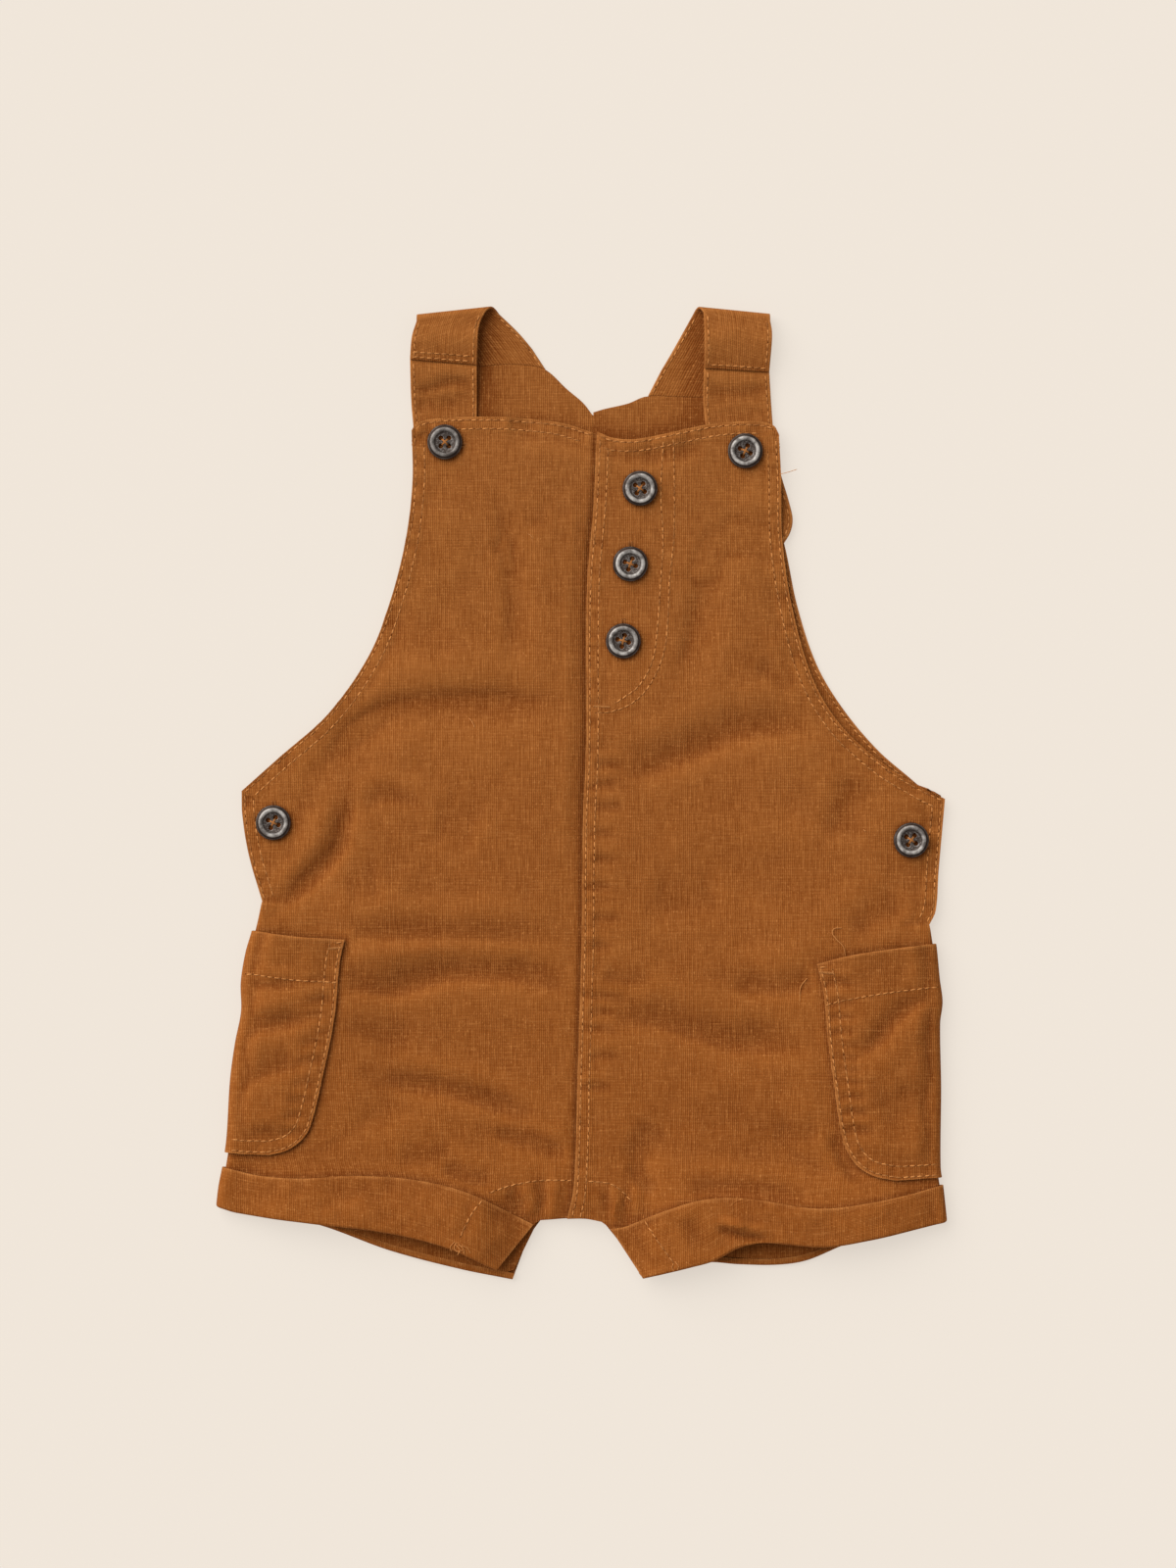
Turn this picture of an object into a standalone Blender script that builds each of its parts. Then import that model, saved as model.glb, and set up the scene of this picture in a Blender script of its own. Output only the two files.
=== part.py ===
"""A baby's short bib overalls in plain woven cloth, laid flat on the back.

Built as it is cut and sewn: two fronts that lap at the centre, two backs that meet at a
seam, a strap on each shoulder made of two pieces, a patch pocket folded round each side,
a turned-up cuff on the front and the back of each leg, and seven buttons.
+X is the right of the garment as it lies, +Y runs up to the straps and +Z away from the
surface that it rests on. The origin is on that surface, below the middle of the garment.
Every size and place below is in millimetres.
"""

import math
from collections import namedtuple

import bmesh
import bpy
from mathutils import Vector

MILLIMETRE = 0.001

# ---- driving sizes ---------------------------------------------------------------------
CLOTH = 1.2  # wall of one layer of cloth
SEAM = 0.3  # between two pieces that are sewn together
OVER = CLOTH + SEAM  # from the outside of one layer to the outside of the next one over it
SIDE_ROUND = 2.2  # radius of the body's folded side, to its outer surface
SIDE_GAP = 0.2  # from the middle of the side fold to each of the two edges sewn there
LIFT_MARGIN = 8.0  # how far past a pocket or cuff beneath it the back stays lifted
LIFT_RAMP = 24.0  # the length over which it comes down again
AIR_BODY = 2 * (SIDE_ROUND - CLOTH)  # between front and back at a closed side
AIR_FREE = 0.8  # between them at an open edge
AIR_CROTCH = 0.6  # between them at the crotch
SETTLE = 14.0  # how far from an open edge the front has sunk to the back
PUFF = 1.0  # how much fuller the middle of the front is
PUFF_REACH = 40.0  # how far from the side it is at its fullest
GAPE = 3.8  # how much more the mouth of a leg stands open
GAPE_TOP = -144.0  # where the leg starts to open
GAPE_RAMP = 28.0
FRONT_LAP = 8.0  # how far the left front runs on under the right one
LAP_DIP = 0.7  # how far the covered edge of the left front sinks
LAP_CLEAR = 0.4  # more air between the two than at a seam, where they lap
CALM = 9.0  # how far from a covered edge the folds have died away
HEM_TUCK = 2.8  # from a cuff's fold up to the panel's edge inside it
STRAP_FOLD = 2.9  # outer radius of the strap's fold at the shoulder
STRAP_UNDER = 2.8  # height of the strap's upper surface where it lies under the bib
STRAP_RISE = 3.0  # how much higher it is at the fold
BIB_RAISED = 11.0  # how far past a strap the bib is still held up by it
FACET_REACH = 5.0  # half a cell of a panel: what lies on it clears its facets so far round

ROW_STEP = 8.8
COLUMNS = {"front": 12, "back": 9}  # in a panel, past its round side
POCKET_COLUMNS = {"front": 5, "back": 3}
CUFF_COLUMNS = 13
SIDE_TURNS = [math.radians(turn) for turn in (0, 10, 38, 64)]  # then flat from 90 degrees
FOLD_STEPS = 6  # in the half turn of a strap

BUTTON_RADIUS = 7.1
BUTTON_SIDES = 18
HOLE_RADIUS = 0.85
HOLE_CIRCLE = 2.3
HOLE_SIDES = 6

# ---- outlines --------------------------------------------------------------------------
# Rows of y, x: where an edge is at each height. Rows of x, y: where it is at each x.
Across = namedtuple("Across", "y x")
Along = namedtuple("Along", "x y")

CENTRE_FRONT = (
    Across(-176.0, -6.0), Across(-161.0, -2.9), Across(-116.0, -1.4), Across(-60.0, 0.2),
    Across(-15.0, 0.7), Across(20.0, 2.1), Across(60.0, 2.1), Across(87.0, 2.6),
    Across(117.0, 5.1), Across(147.0, 6.4),
)
CENTRE_BACK = (
    Across(-176.0, -4.0), Across(-60.0, 1.0), Across(60.0, 3.0), Across(154.0, 5.0),
)

SIDE_LEFT = (
    Across(-170.0, -147.3), Across(-160.0, -146.2), Across(-150.0, -144.3), Across(-140.0, -142.9),
    Across(-117.0, -141.5),
    Across(-102.0, -139.5), Across(-89.0, -137.0), Across(-77.0, -137.1), Across(-65.0, -135.2),
    Across(-56.0, -132.6), Across(-44.0, -129.8),
)
VENT_LEFT = (
    Across(-44.0, -129.8), Across(-25.0, -135.4), Across(-9.0, -138.0), Across(0.8, -138.3),
)
ARMHOLE_LEFT = (
    Across(0.8, -138.3), Across(14.0, -123.5), Across(32.0, -103.2), Across(56.0, -86.4),
    Across(80.0, -77.2), Across(104.0, -71.2), Across(127.0, -68.6), Across(147.5, -69.0),
)
BACK_ARMHOLE_LEFT = (
    Across(-44.0, -129.8), Across(-25.0, -132.0), Across(-2.0, -132.0), Across(14.0, -119.5),
    Across(32.0, -100.0), Across(56.0, -83.0), Across(80.0, -74.0), Across(104.0, -68.0),
    Across(140.0, -62.5), Across(172.3, -56.2),
)
SIDE_RIGHT = (
    Across(-176.0, 147.7), Across(-160.0, 146.0), Across(-152.0, 144.9), Across(-120.0, 145.1),
    Across(-94.0, 144.7), Across(-85.0, 145.7), Across(-76.0, 144.6), Across(-62.0, 143.2),
    Across(-53.6, 141.7),
)
VENT_RIGHT = (
    Across(-53.6, 141.7), Across(-48.0, 144.3), Across(-32.0, 145.6), Across(-2.4, 148.2),
)
ARMHOLE_RIGHT = (
    Across(-2.4, 148.2), Across(2.4, 138.2), Across(11.0, 124.2), Across(27.0, 106.2),
    Across(47.0, 94.2), Across(77.0, 85.6), Across(104.0, 81.8), Across(130.0, 81.3),
    Across(146.0, 80.4),
)
BACK_ARMHOLE_RIGHT = (
    Across(-53.6, 141.7), Across(-32.0, 143.0), Across(-4.0, 144.4), Across(3.8, 136.7),
    Across(17.0, 121.4), Across(34.0, 107.0), Across(52.0, 96.2), Across(76.0, 88.2),
    Across(100.0, 83.2), Across(130.0, 75.0), Across(161.0, 64.0),
)

NECK_LEFT = (
    Along(-69.0, 147.5), Along(-67.4, 149.9), Along(-62.0, 151.9), Along(-42.0, 152.9),
    Along(-24.0, 152.4), Along(-8.0, 150.6), Along(6.0, 146.2), Along(14.4, 143.2),
)
NECK_RIGHT = (
    Along(6.4, 147.0), Along(12.4, 144.5), Along(21.0, 143.8), Along(32.0, 145.6),
    Along(52.6, 149.9), Along(64.0, 151.0), Along(73.0, 150.9), Along(78.6, 149.2), Along(80.4, 146.0),
)
YOKE_LEFT = (
    Along(-56.2, 172.6), Along(-42.0, 173.8), Along(-31.0, 174.6), Along(-22.0, 174.3),
    Along(-14.0, 172.2), Along(-6.0, 164.8), Along(1.0, 158.8), Along(4.8, 153.8),
)
YOKE_RIGHT = (
    Along(5.2, 155.2), Along(9.0, 156.4), Along(19.2, 158.8), Along(26.4, 161.6),
    Along(40.0, 161.4), Along(64.0, 161.0),
)

# The bottom fold of each cuff, then the end of the cuff up the inside leg, then the crotch.
HEM_FRONT_LEFT = (
    Along(-147.3, -168.6), Along(-140.0, -170.8), Along(-109.0, -174.8), Along(-80.0, -178.4),
    Along(-54.0, -184.8), Along(-34.4, -194.0),
)
HEM_BACK_LEFT = (
    Along(-147.3, -168.6), Along(-140.0, -170.8), Along(-109.0, -175.6), Along(-78.0, -186.6),
    Along(-50.0, -194.0), Along(-28.0, -198.4),
)
HEM_FRONT_RIGHT = (
    Along(25.2, -197.2), Along(44.0, -192.4), Along(54.0, -189.6), Along(64.0, -184.4),
    Along(74.0, -182.4), Along(98.0, -184.2), Along(115.0, -181.8), Along(147.7, -174.8),
)
HEM_BACK_RIGHT = (
    Along(25.2, -196.0), Along(40.0, -193.4), Along(52.0, -191.4), Along(64.0, -192.2),
    Along(80.0, -192.4), Along(92.0, -190.6), Along(110.0, -183.4), Along(147.7, -174.8),
)
INSEAM_FRONT_LEFT = (Along(-34.4, -194.0), Along(-17.4, -176.8))
INSEAM_BACK_LEFT = (Along(-28.0, -198.4), Along(-17.4, -176.8))
INSEAM_FRONT_RIGHT = (Along(9.2, -177.4), Along(25.2, -197.2))
INSEAM_BACK_RIGHT = (Along(9.2, -177.4), Along(25.2, -196.0))
CROTCH_LEFT = (Along(-17.4, -176.8), Along(-6.4, -176.0), Along(3.0, -176.0))
CROTCH_RIGHT = (Along(-6.4, -176.0), Along(2.0, -176.0), Along(9.2, -177.4))
CUFF_TOP_LEFT = (
    Along(-146.5, -151.8), Along(-132.0, -155.2), Along(-114.0, -156.4), Along(-92.0, -155.3),
    Along(-70.0, -156.6), Along(-54.0, -159.6), Along(-42.0, -163.8), Along(-28.0, -171.2),
    Along(-19.4, -175.6),
)
CUFF_TOP_RIGHT = (
    Along(12.0, -177.2), Along(18.0, -176.2), Along(27.0, -172.4), Along(34.0, -169.4),
    Along(46.0, -165.4), Along(59.0, -164.0), Along(74.0, -165.2), Along(92.0, -168.0),
    Along(106.0, -167.8), Along(134.0, -162.8), Along(146.8, -159.4),
)

# A pocket's inner edge from its foot up to its mouth, then its mouth and its foot.
POCKET_EDGE_LEFT = (
    Across(-147.2, -126.6), Across(-145.3, -119.4), Across(-140.8, -113.3), Across(-135.0, -109.8),
    Across(-112.0, -104.2), Across(-91.0, -100.1), Across(-69.0, -98.0), Across(-59.6, -96.0),
)
POCKET_EDGE_RIGHT = (
    Across(-157.4, 128.0), Across(-155.4, 118.6), Across(-150.8, 111.6), Across(-142.0, 106.6),
    Across(-118.0, 102.6), Across(-100.0, 100.2), Across(-83.0, 98.7), Across(-69.6, 95.9),
)
POCKET_MOUTH_LEFT = (Along(-133.0, -56.0), Along(-116.4, -58.3), Along(-96.0, -59.6))
POCKET_MOUTH_RIGHT = (Along(95.9, -69.6), Along(107.6, -66.4), Along(127.6, -63.2), Along(143.5, -61.4))
POCKET_FOOT_LEFT = (Along(-143.5, -146.2), Along(-136.8, -146.9), Along(-126.6, -147.2))
POCKET_FOOT_RIGHT = (Along(128.0, -157.4), Along(145.8, -156.4))

# Stations down a strap: where its two sides are and the height of its outer surface.
Station = namedtuple("Station", "outer_x outer_y inner_x inner_y")
SHOULDER_BACK_LEFT = (
    Station(-55.0, 172.8, -14.4, 172.9), Station(-57.4, 178.6, -18.0, 178.4),
    Station(-62.0, 186.4, -25.0, 187.0), Station(-67.0, 192.0, -33.4, 195.2),
)
SHOULDER_FRONT_LEFT = (
    Station(-66.9, 191.9, -39.2, 195.3), Station(-68.8, 185.2, -41.6, 189.0),
    Station(-69.6, 176.2, -42.4, 174.0),
)
STRAP_FRONT_LEFT = (
    Station(-69.6, 175.8, -42.4, 173.6), Station(-69.2, 160.0, -42.4, 160.0),
    Station(-68.2, 148.0, -42.4, 148.0), Station(-66.4, 128.0, -41.5, 128.0),
    Station(-65.4, 113.0, -41.4, 112.6), Station(-63.8, 107.4, -43.0, 107.0),
    Station(-60.0, 104.2, -47.0, 103.8),
)
SHOULDER_BACK_RIGHT = (
    Station(62.8, 161.6, 27.2, 162.2), Station(66.0, 168.0, 30.4, 168.4),
    Station(71.0, 179.0, 37.0, 179.6), Station(77.0, 192.2, 45.6, 195.0),
)
SHOULDER_FRONT_RIGHT = (
    Station(76.9, 192.2, 49.8, 195.2), Station(77.6, 185.6, 50.2, 185.6),
    Station(76.6, 171.2, 50.1, 172.7),
)
STRAP_FRONT_RIGHT = (
    Station(76.6, 170.8, 50.1, 172.3), Station(77.4, 158.8, 49.8, 160.0),
    Station(78.4, 147.0, 50.8, 149.0), Station(80.6, 133.0, 52.6, 135.0),
    Station(84.6, 119.0, 56.0, 121.4), Station(86.2, 111.6, 57.8, 113.4),
    Station(85.2, 106.0, 60.4, 106.8), Station(82.4, 101.2, 64.4, 102.6),
)

# ---- folds that show from a step away ----------------------------------------------------
# Each is a bowed line from start over middle to end; height is below zero in a trough.
Fold = namedtuple("Fold", "start middle end width height")
FRONT_FOLDS = (
    Fold((-8, 37), (-41, 39), (-76, 38), 6.0, -1.3),  # under the bib, left
    Fold((-76, 38), (-91, 26), (-104, 9), 6.0, -1.0),  # and on towards the side
    Fold((-94, 4), (-95, -26), (-122, -47), 6.0, -1.5),  # from the side button to the seam
    Fold((-84, 2), (-84, -26), (-104, -46), 6.0, 0.7),  # the roll beside it
    Fold((-33, 124), (-29, 88), (-28, 52), 5.5, -0.7),  # down the left bib
    Fold((-88, -57), (-61, -56), (-18, -58), 5.0, -0.8),  # waist, upper line
    Fold((-88, -66), (-60, -65), (-18, -66), 5.0, 0.9),  # waist, the roll between
    Fold((-86, -77), (-55, -76), (-10, -78), 5.5, -1.4),  # waist, lower line
    Fold((-60, -116), (-41, -125), (-24, -131), 6.0, -1.2),  # left thigh
    Fold((-42, -135), (-24, -141), (-10, -145), 5.0, -1.0),  # left crotch
    Fold((54, 108), (66, 102), (84, 100), 5.0, -1.0),  # below the right strap's end
    Fold((50, 100), (45, 76), (43, 48), 6.5, -0.8),  # down the right bib
    Fold((22, 9), (49, 20), (91, 26), 6.5, -1.1),  # under the placket, to the armhole
    Fold((104, 8), (108, -8), (105, -25), 8.0, -0.8),  # beside the right side button
    Fold((28, -48), (42, -46), (54, -44), 9.0, -0.7),  # right belly
    Fold((106, -58), (118, -52), (130, -46), 6.0, -0.8),  # above the right pocket
    Fold((64, -77), (74, -78), (86, -78), 6.0, -0.9),  # beside the right pocket's mouth
    Fold((22, -92), (50, -99), (80, -101), 6.5, -1.2),  # right thigh
)
POCKET_FOLDS = (
    Fold((-142, -98), (-124, -94), (-106, -92), 5.0, -1.0),
    Fold((-143, -118), (-128, -109), (-112, -108), 5.5, -0.6),
    Fold((152, -82), (138, -90), (122, -106), 5.5, -1.0),
    Fold((150, -128), (134, -124), (116, -128), 6.5, -0.5),
)
POCKET_PUFF = 1.0  # how far a pocket's front stands off between its stitched edges

# One half of the garment. A foot is the hem, the inside leg and the crotch, by rising x.
Half = namedtuple(
    "Half",
    "name side vent_foot seam_full front_side back_side neck yoke foot_front foot_back hem_front"
    " hem_back crotch cuff_top pocket_edge pocket_mouth pocket_foot shoulder_back shoulder_front"
    " strap_front",
)
LEFT = Half(
    "left", -1, -44.0, -53.0, (SIDE_LEFT, VENT_LEFT, ARMHOLE_LEFT), (SIDE_LEFT, BACK_ARMHOLE_LEFT),
    NECK_LEFT, YOKE_LEFT, (HEM_FRONT_LEFT, INSEAM_FRONT_LEFT, CROTCH_LEFT),
    (HEM_BACK_LEFT, INSEAM_BACK_LEFT, CROTCH_LEFT), HEM_FRONT_LEFT, HEM_BACK_LEFT,
    INSEAM_FRONT_LEFT[-1], CUFF_TOP_LEFT, POCKET_EDGE_LEFT, POCKET_MOUTH_LEFT, POCKET_FOOT_LEFT,
    SHOULDER_BACK_LEFT, SHOULDER_FRONT_LEFT, STRAP_FRONT_LEFT,
)
RIGHT = Half(
    "right", 1, -53.6, -60.0, (SIDE_RIGHT, VENT_RIGHT, ARMHOLE_RIGHT), (SIDE_RIGHT, BACK_ARMHOLE_RIGHT),
    NECK_RIGHT, YOKE_RIGHT, (CROTCH_RIGHT, INSEAM_FRONT_RIGHT, HEM_FRONT_RIGHT),
    (CROTCH_RIGHT, INSEAM_BACK_RIGHT, HEM_BACK_RIGHT), HEM_FRONT_RIGHT, HEM_BACK_RIGHT,
    INSEAM_FRONT_RIGHT[0], CUFF_TOP_RIGHT, POCKET_EDGE_RIGHT, POCKET_MOUTH_RIGHT, POCKET_FOOT_RIGHT,
    SHOULDER_BACK_RIGHT, SHOULDER_FRONT_RIGHT, STRAP_FRONT_RIGHT,
)

Button = namedtuple("Button", "name half x y turn")
BUTTONS = (
    Button("button_bib_left", LEFT, -55.4, 142.6, 40),
    Button("button_bib_right", RIGHT, 66.7, 139.0, 20),
    Button("button_placket_top", RIGHT, 23.9, 123.7, 10),
    Button("button_placket_middle", RIGHT, 20.0, 93.0, 25),
    Button("button_placket_low", RIGHT, 17.1, 61.7, 30),
    Button("button_side_left", LEFT, -125.2, -12.1, 35),
    Button("button_side_right", RIGHT, 134.2, -19.2, 55),
)
# Half of a button's section, from the middle of its underside round to its dished face.
Profile = namedtuple("Profile", "radius height")
BUTTON_PROFILE = (
    Profile(5.9, 0.0), Profile(BUTTON_RADIUS, 0.8), Profile(BUTTON_RADIUS, 1.6),
    Profile(6.5, 2.4), Profile(5.7, 2.5), Profile(4.7, 1.7),
)
BUTTON_FACE = 1.5  # height of the dished face in the middle

# Linear RGB, with roughness and metallic value.
Finish = namedtuple("Finish", "name rgb roughness metallic")
TOBACCO = Finish("tobacco_cloth", (0.31, 0.10, 0.024), 0.9, 0.0)
GUNMETAL = Finish("aged_gunmetal", (0.11, 0.10, 0.09), 0.4, 0.8)


# ---- curves ----------------------------------------------------------------------------
def smooth(t):
    """0 up to t = 0, 1 from t = 1, and an even S between."""
    t = min(max(t, 0.0), 1.0)
    return t * t * (3.0 - 2.0 * t)


def through(table, at):
    """The second value, where the first is given, on the smooth curve through a table's rows."""
    last = len(table) - 1
    at = min(max(at, table[0][0]), table[last][0])
    i = 0
    while i < last - 1 and at > table[i + 1][0]:
        i += 1

    def slope(k):
        low, high = table[max(k - 1, 0)], table[min(k + 1, last)]
        return (high[1] - low[1]) / (high[0] - low[0])

    span = table[i + 1][0] - table[i][0]
    t = (at - table[i][0]) / span
    straight = table[i][1] * (1.0 - smooth(t)) + table[i + 1][1] * smooth(t)
    return straight + t * (1.0 - t) * span * ((1.0 - t) * slope(i) - t * slope(i + 1))


def stretch(tables, at):
    """The value where several tables follow each other, with a corner between them."""
    for table in tables[:-1]:
        if at <= table[-1][0]:
            return through(table, at)
    return through(tables[-1], at)


def between(a, b, t):
    return tuple(p + t * (q - p) for p, q in zip(a, b))


def run(points):
    """A smooth line through points, as a function of 0 to 1 along it."""
    along = [0.0]
    for a, b in zip(points, points[1:]):
        along.append(along[-1] + math.dist(a, b))
    tables = [[(d / along[-1], p[k]) for d, p in zip(along, points)] for k in (0, 1)]
    return lambda v: tuple(through(table, v) for table in tables)


def patch(side, centre, bottom, top):
    """A point of the plan between four edges that meet at the corners."""
    def plan(u, v):
        edges = between(bottom(u), top(u), v)
        ends = between(side(v), centre(v), u)
        corners = between(between(side(0), centre(0), u), between(side(1), centre(1), u), v)
        return tuple(e + f - c for e, f, c in zip(edges, ends, corners))
    return plan


def level(tables, start, end, shift=0.0):
    """An edge that crosses from one x to another, as a function of 0 to 1."""
    def edge(u):
        x = start + u * (end - start)
        return (x, stretch(tables, x) + shift)
    return edge


def fold_height(fold, x, y):
    """What one fold adds to the height at a place."""
    parts = 12
    nearest, share = math.inf, 0.0
    for i in range(parts + 1):
        t = i / parts
        pull = between(fold.start, fold.end, 0.5)
        bow = [2 * m - p for m, p in zip(fold.middle, pull)]
        point = between(between(fold.start, bow, t), between(bow, fold.end, t), t)
        away = math.dist((x, y), point)
        if away < nearest:
            nearest, share = away, t
    fade = 0.3 + 0.7 * smooth(share * 4) * smooth((1 - share) * 4)
    return fold.height * fade * math.exp(-((nearest / fold.width) ** 2))


# ---- the body's heights ------------------------------------------------------------------
def from_side(half, x, y):
    """How far inside the front's side edge a place is."""
    return half.side * (stretch(half.front_side, y) - x)


def closed(half, y):
    """1 where front and back are joined at the side, 0 along the open edges."""
    return smooth((half.vent_foot - y) / (half.vent_foot - half.seam_full))


def beneath_covers(half, x, y):
    """How far inside the outline of a pocket or a cuff a place is, below zero outside."""
    mouth = stretch((half.pocket_mouth,), x)
    pocket = min(
        half.side * (x - through(half.pocket_edge, y)), mouth - y, y - half.pocket_edge[0].y
    )
    return max(pocket, through(half.cuff_top, x) - y)


def back_under(half, x, y):
    """Height of the back's outer surface: on the floor, or over a pocket or a cuff."""
    return OVER * smooth((beneath_covers(half, x, y) + LIFT_MARGIN + LIFT_RAMP) / LIFT_RAMP)


def over_strap(half, x, y):
    """1 where the bib lies over the end of a strap or close beside it."""
    low, high = sorted((half.strap_front[2].outer_x, half.strap_front[2].inner_x))
    inside = min(x - low, high - x, y - half.strap_front[-1].outer_y)
    return smooth((inside + 2 * BIB_RAISED) / BIB_RAISED)


def settled(half, x, y):
    """1 at the neckline, an armhole or a side vent, 0 further in."""
    side = from_side(half, x, y) + 1000.0 * closed(half, y)
    edge = min(through(half.neck, x) - y, side)
    return (1.0 - smooth(edge / SETTLE)) * (1.0 - over_strap(half, x, y))


def leg_gape(half, x, y):
    """How much more the mouth of a leg stands open than the body."""
    outer = smooth((from_side(half, x, y) - SIDE_ROUND) / 26.0)
    inner = smooth((half.side * (x - half.crotch.x) - 8.0) / 28.0)
    return GAPE * outer * inner * smooth((GAPE_TOP - y) / GAPE_RAMP)


def at_crotch(half, x, y):
    """1 along the inside leg and the crotch, where the front lies down on the back."""
    away = max(half.side * (x - half.crotch.x), 0.0)
    return smooth((26.0 - away) / 20.0) * smooth((-150.0 - y) / 22.0)


def front_over(half, x, y):
    """Height of the front's outer surface."""
    open_edge = settled(half, x, y)
    air = AIR_BODY - (AIR_BODY - AIR_FREE) * open_edge
    air -= (AIR_BODY - AIR_CROTCH) * at_crotch(half, x, y)
    full = PUFF * smooth((from_side(half, x, y) - SIDE_ROUND) / PUFF_REACH) * (1.0 - open_edge)
    full *= 1.0 - at_crotch(half, x, y)
    dip = LAP_DIP * (1.0 - at_crotch(half, x, y))
    calm = smooth((-beneath_covers(half, x, y) - 2.0) / CALM)
    from_lap = x - through(CENTRE_FRONT, y)
    if half.side < 0:
        lap = -dip * smooth((from_lap + 3.0) / 3.0)
        calm *= smooth(-from_lap / CALM)
    else:
        lap = (OVER + LAP_CLEAR - dip) * (1.0 - smooth((from_lap - FRONT_LAP - 2.0) / 8.0))
        calm *= smooth((from_lap - FRONT_LAP - 1.0) / CALM)
    folds = calm * sum(fold_height(fold, x, y) for fold in FRONT_FOLDS)
    room = air + full - SEAM - (AIR_BODY - SEAM) * over_strap(half, x, y)
    height = 2 * CLOTH + air + full + leg_gape(half, x, y) + max(folds, -max(room, 0.0))
    return back_under(half, x, y) + height + lap


def on_front(half, x, y):
    """Height of the front under a piece that lies on it, clear of the panel's facets."""
    steps = (-FACET_REACH, 0.0, FACET_REACH)
    return max(front_over(half, x + dx, y + dy) for dx in steps for dy in steps)


# ---- making the pieces -------------------------------------------------------------------
def material(finish):
    made = bpy.data.materials.get(finish.name) or bpy.data.materials.new(finish.name)
    made.use_nodes = True
    shader = made.node_tree.nodes["Principled BSDF"]
    shader.inputs["Base Color"].default_value = (*finish.rgb, 1.0)
    shader.inputs["Roughness"].default_value = finish.roughness
    shader.inputs["Metallic"].default_value = finish.metallic
    return made


def add_object(name, mesh, finish):
    made = bpy.data.objects.new(name, mesh)
    mesh.materials.append(material(finish))
    mesh.shade_smooth()
    bpy.context.scene.collection.objects.link(made)
    return made


def cloth(name, rows, flip):
    """A wall of cloth grown inwards from its outer surface, which is given as rows of points."""
    work = bmesh.new()
    columns = len(rows[0])
    bmesh.ops.create_grid(work, x_segments=columns - 1, y_segments=len(rows) - 1, size=1.0)
    work.verts.ensure_lookup_table()
    for vertex in work.verts:
        row, column = divmod(vertex.index, columns)
        vertex.co = Vector(rows[row][column]) * MILLIMETRE
    if flip:
        bmesh.ops.reverse_faces(work, faces=work.faces)
    mesh = bpy.data.meshes.new(name)
    work.to_mesh(mesh)
    work.free()
    made = add_object(name, mesh, TOBACCO)
    wall = made.modifiers.new("wall", "SOLIDIFY")
    wall.thickness = CLOTH * MILLIMETRE
    wall.offset = -1.0
    wall.use_even_offset = True
    return made


def heights(marks, step):
    """Heights from the first mark to the last, through the others, evenly between them."""
    levels = [marks[0]]
    for low, high in zip(marks, marks[1:]):
        parts = max(round((high - low) / step), 1)
        levels += [low + (high - low) * (k + 1) / parts for k in range(parts)]
    return levels


def row_heights(half):
    """The heights of a panel's rows at its side, up to the foot of the side opening."""
    low = half.hem_front[0 if half.side < 0 else -1].y + HEM_TUCK
    return heights((low, half.vent_foot), ROW_STEP)


def body_panel(half, face):
    """A front or a back, as rows from the hem to the top, each from the side to the centre."""
    front = face == "front"
    sides = half.front_side if front else half.back_side
    foot = half.foot_front if front else half.foot_back
    top_table = half.neck if front else half.yoke
    middle = CENTRE_FRONT if front else CENTRE_BACK
    shift = (FRONT_LAP if half.side < 0 else 0.0) if front else half.side * SEAM / 2
    inner = -1 if half.side < 0 else 0
    outer = 0 if half.side < 0 else -1
    low, high = foot[outer][outer].y + HEM_TUCK, sides[-1][-1].y
    centre_low, centre_high = foot[inner][inner].y + HEM_TUCK / 2, top_table[inner].y

    def side_line(v):
        y = low + v * (high - low)
        return (stretch(sides, y), y)

    def centre_line(v):
        y = centre_low + v * (centre_high - centre_low)
        return (through(middle, y) + shift, y)

    plan = patch(
        side_line, centre_line, level(foot, side_line(0)[0], centre_line(0)[0], HEM_TUCK),
        level((top_table,), side_line(1)[0], centre_line(1)[0]),
    )
    corners = [half.vent_foot] + [table[0].y for table in sides[2:]] + [high]
    rows = []
    for y_side in row_heights(half) + heights(corners, ROW_STEP)[1:]:
        v = (y_side - low) / (high - low)
        width = abs(centre_line(v)[0] - side_line(v)[0])
        turns = SIDE_TURNS + [math.pi / 2] * (COLUMNS[face] + 1)
        row = []
        for k, turn in enumerate(turns):
            inward = (width - SIDE_ROUND) * max(k - len(SIDE_TURNS), 0) / COLUMNS[face]
            depth = SIDE_ROUND * (1.0 - math.cos(turn)) + inward
            x, y = plan(depth / width, v)
            turned = closed(half, y) * (SIDE_ROUND - SIDE_GAP) * (1.0 - math.sin(turn))
            if front:
                row.append((x, y, front_over(half, x, y) - turned))
            else:
                row.append((x, y, back_under(half, x, y) + turned))
        rows.append(row)
    return cloth(f"{face}_{half.name}", rows, flip=front == (half.side > 0))


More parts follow.
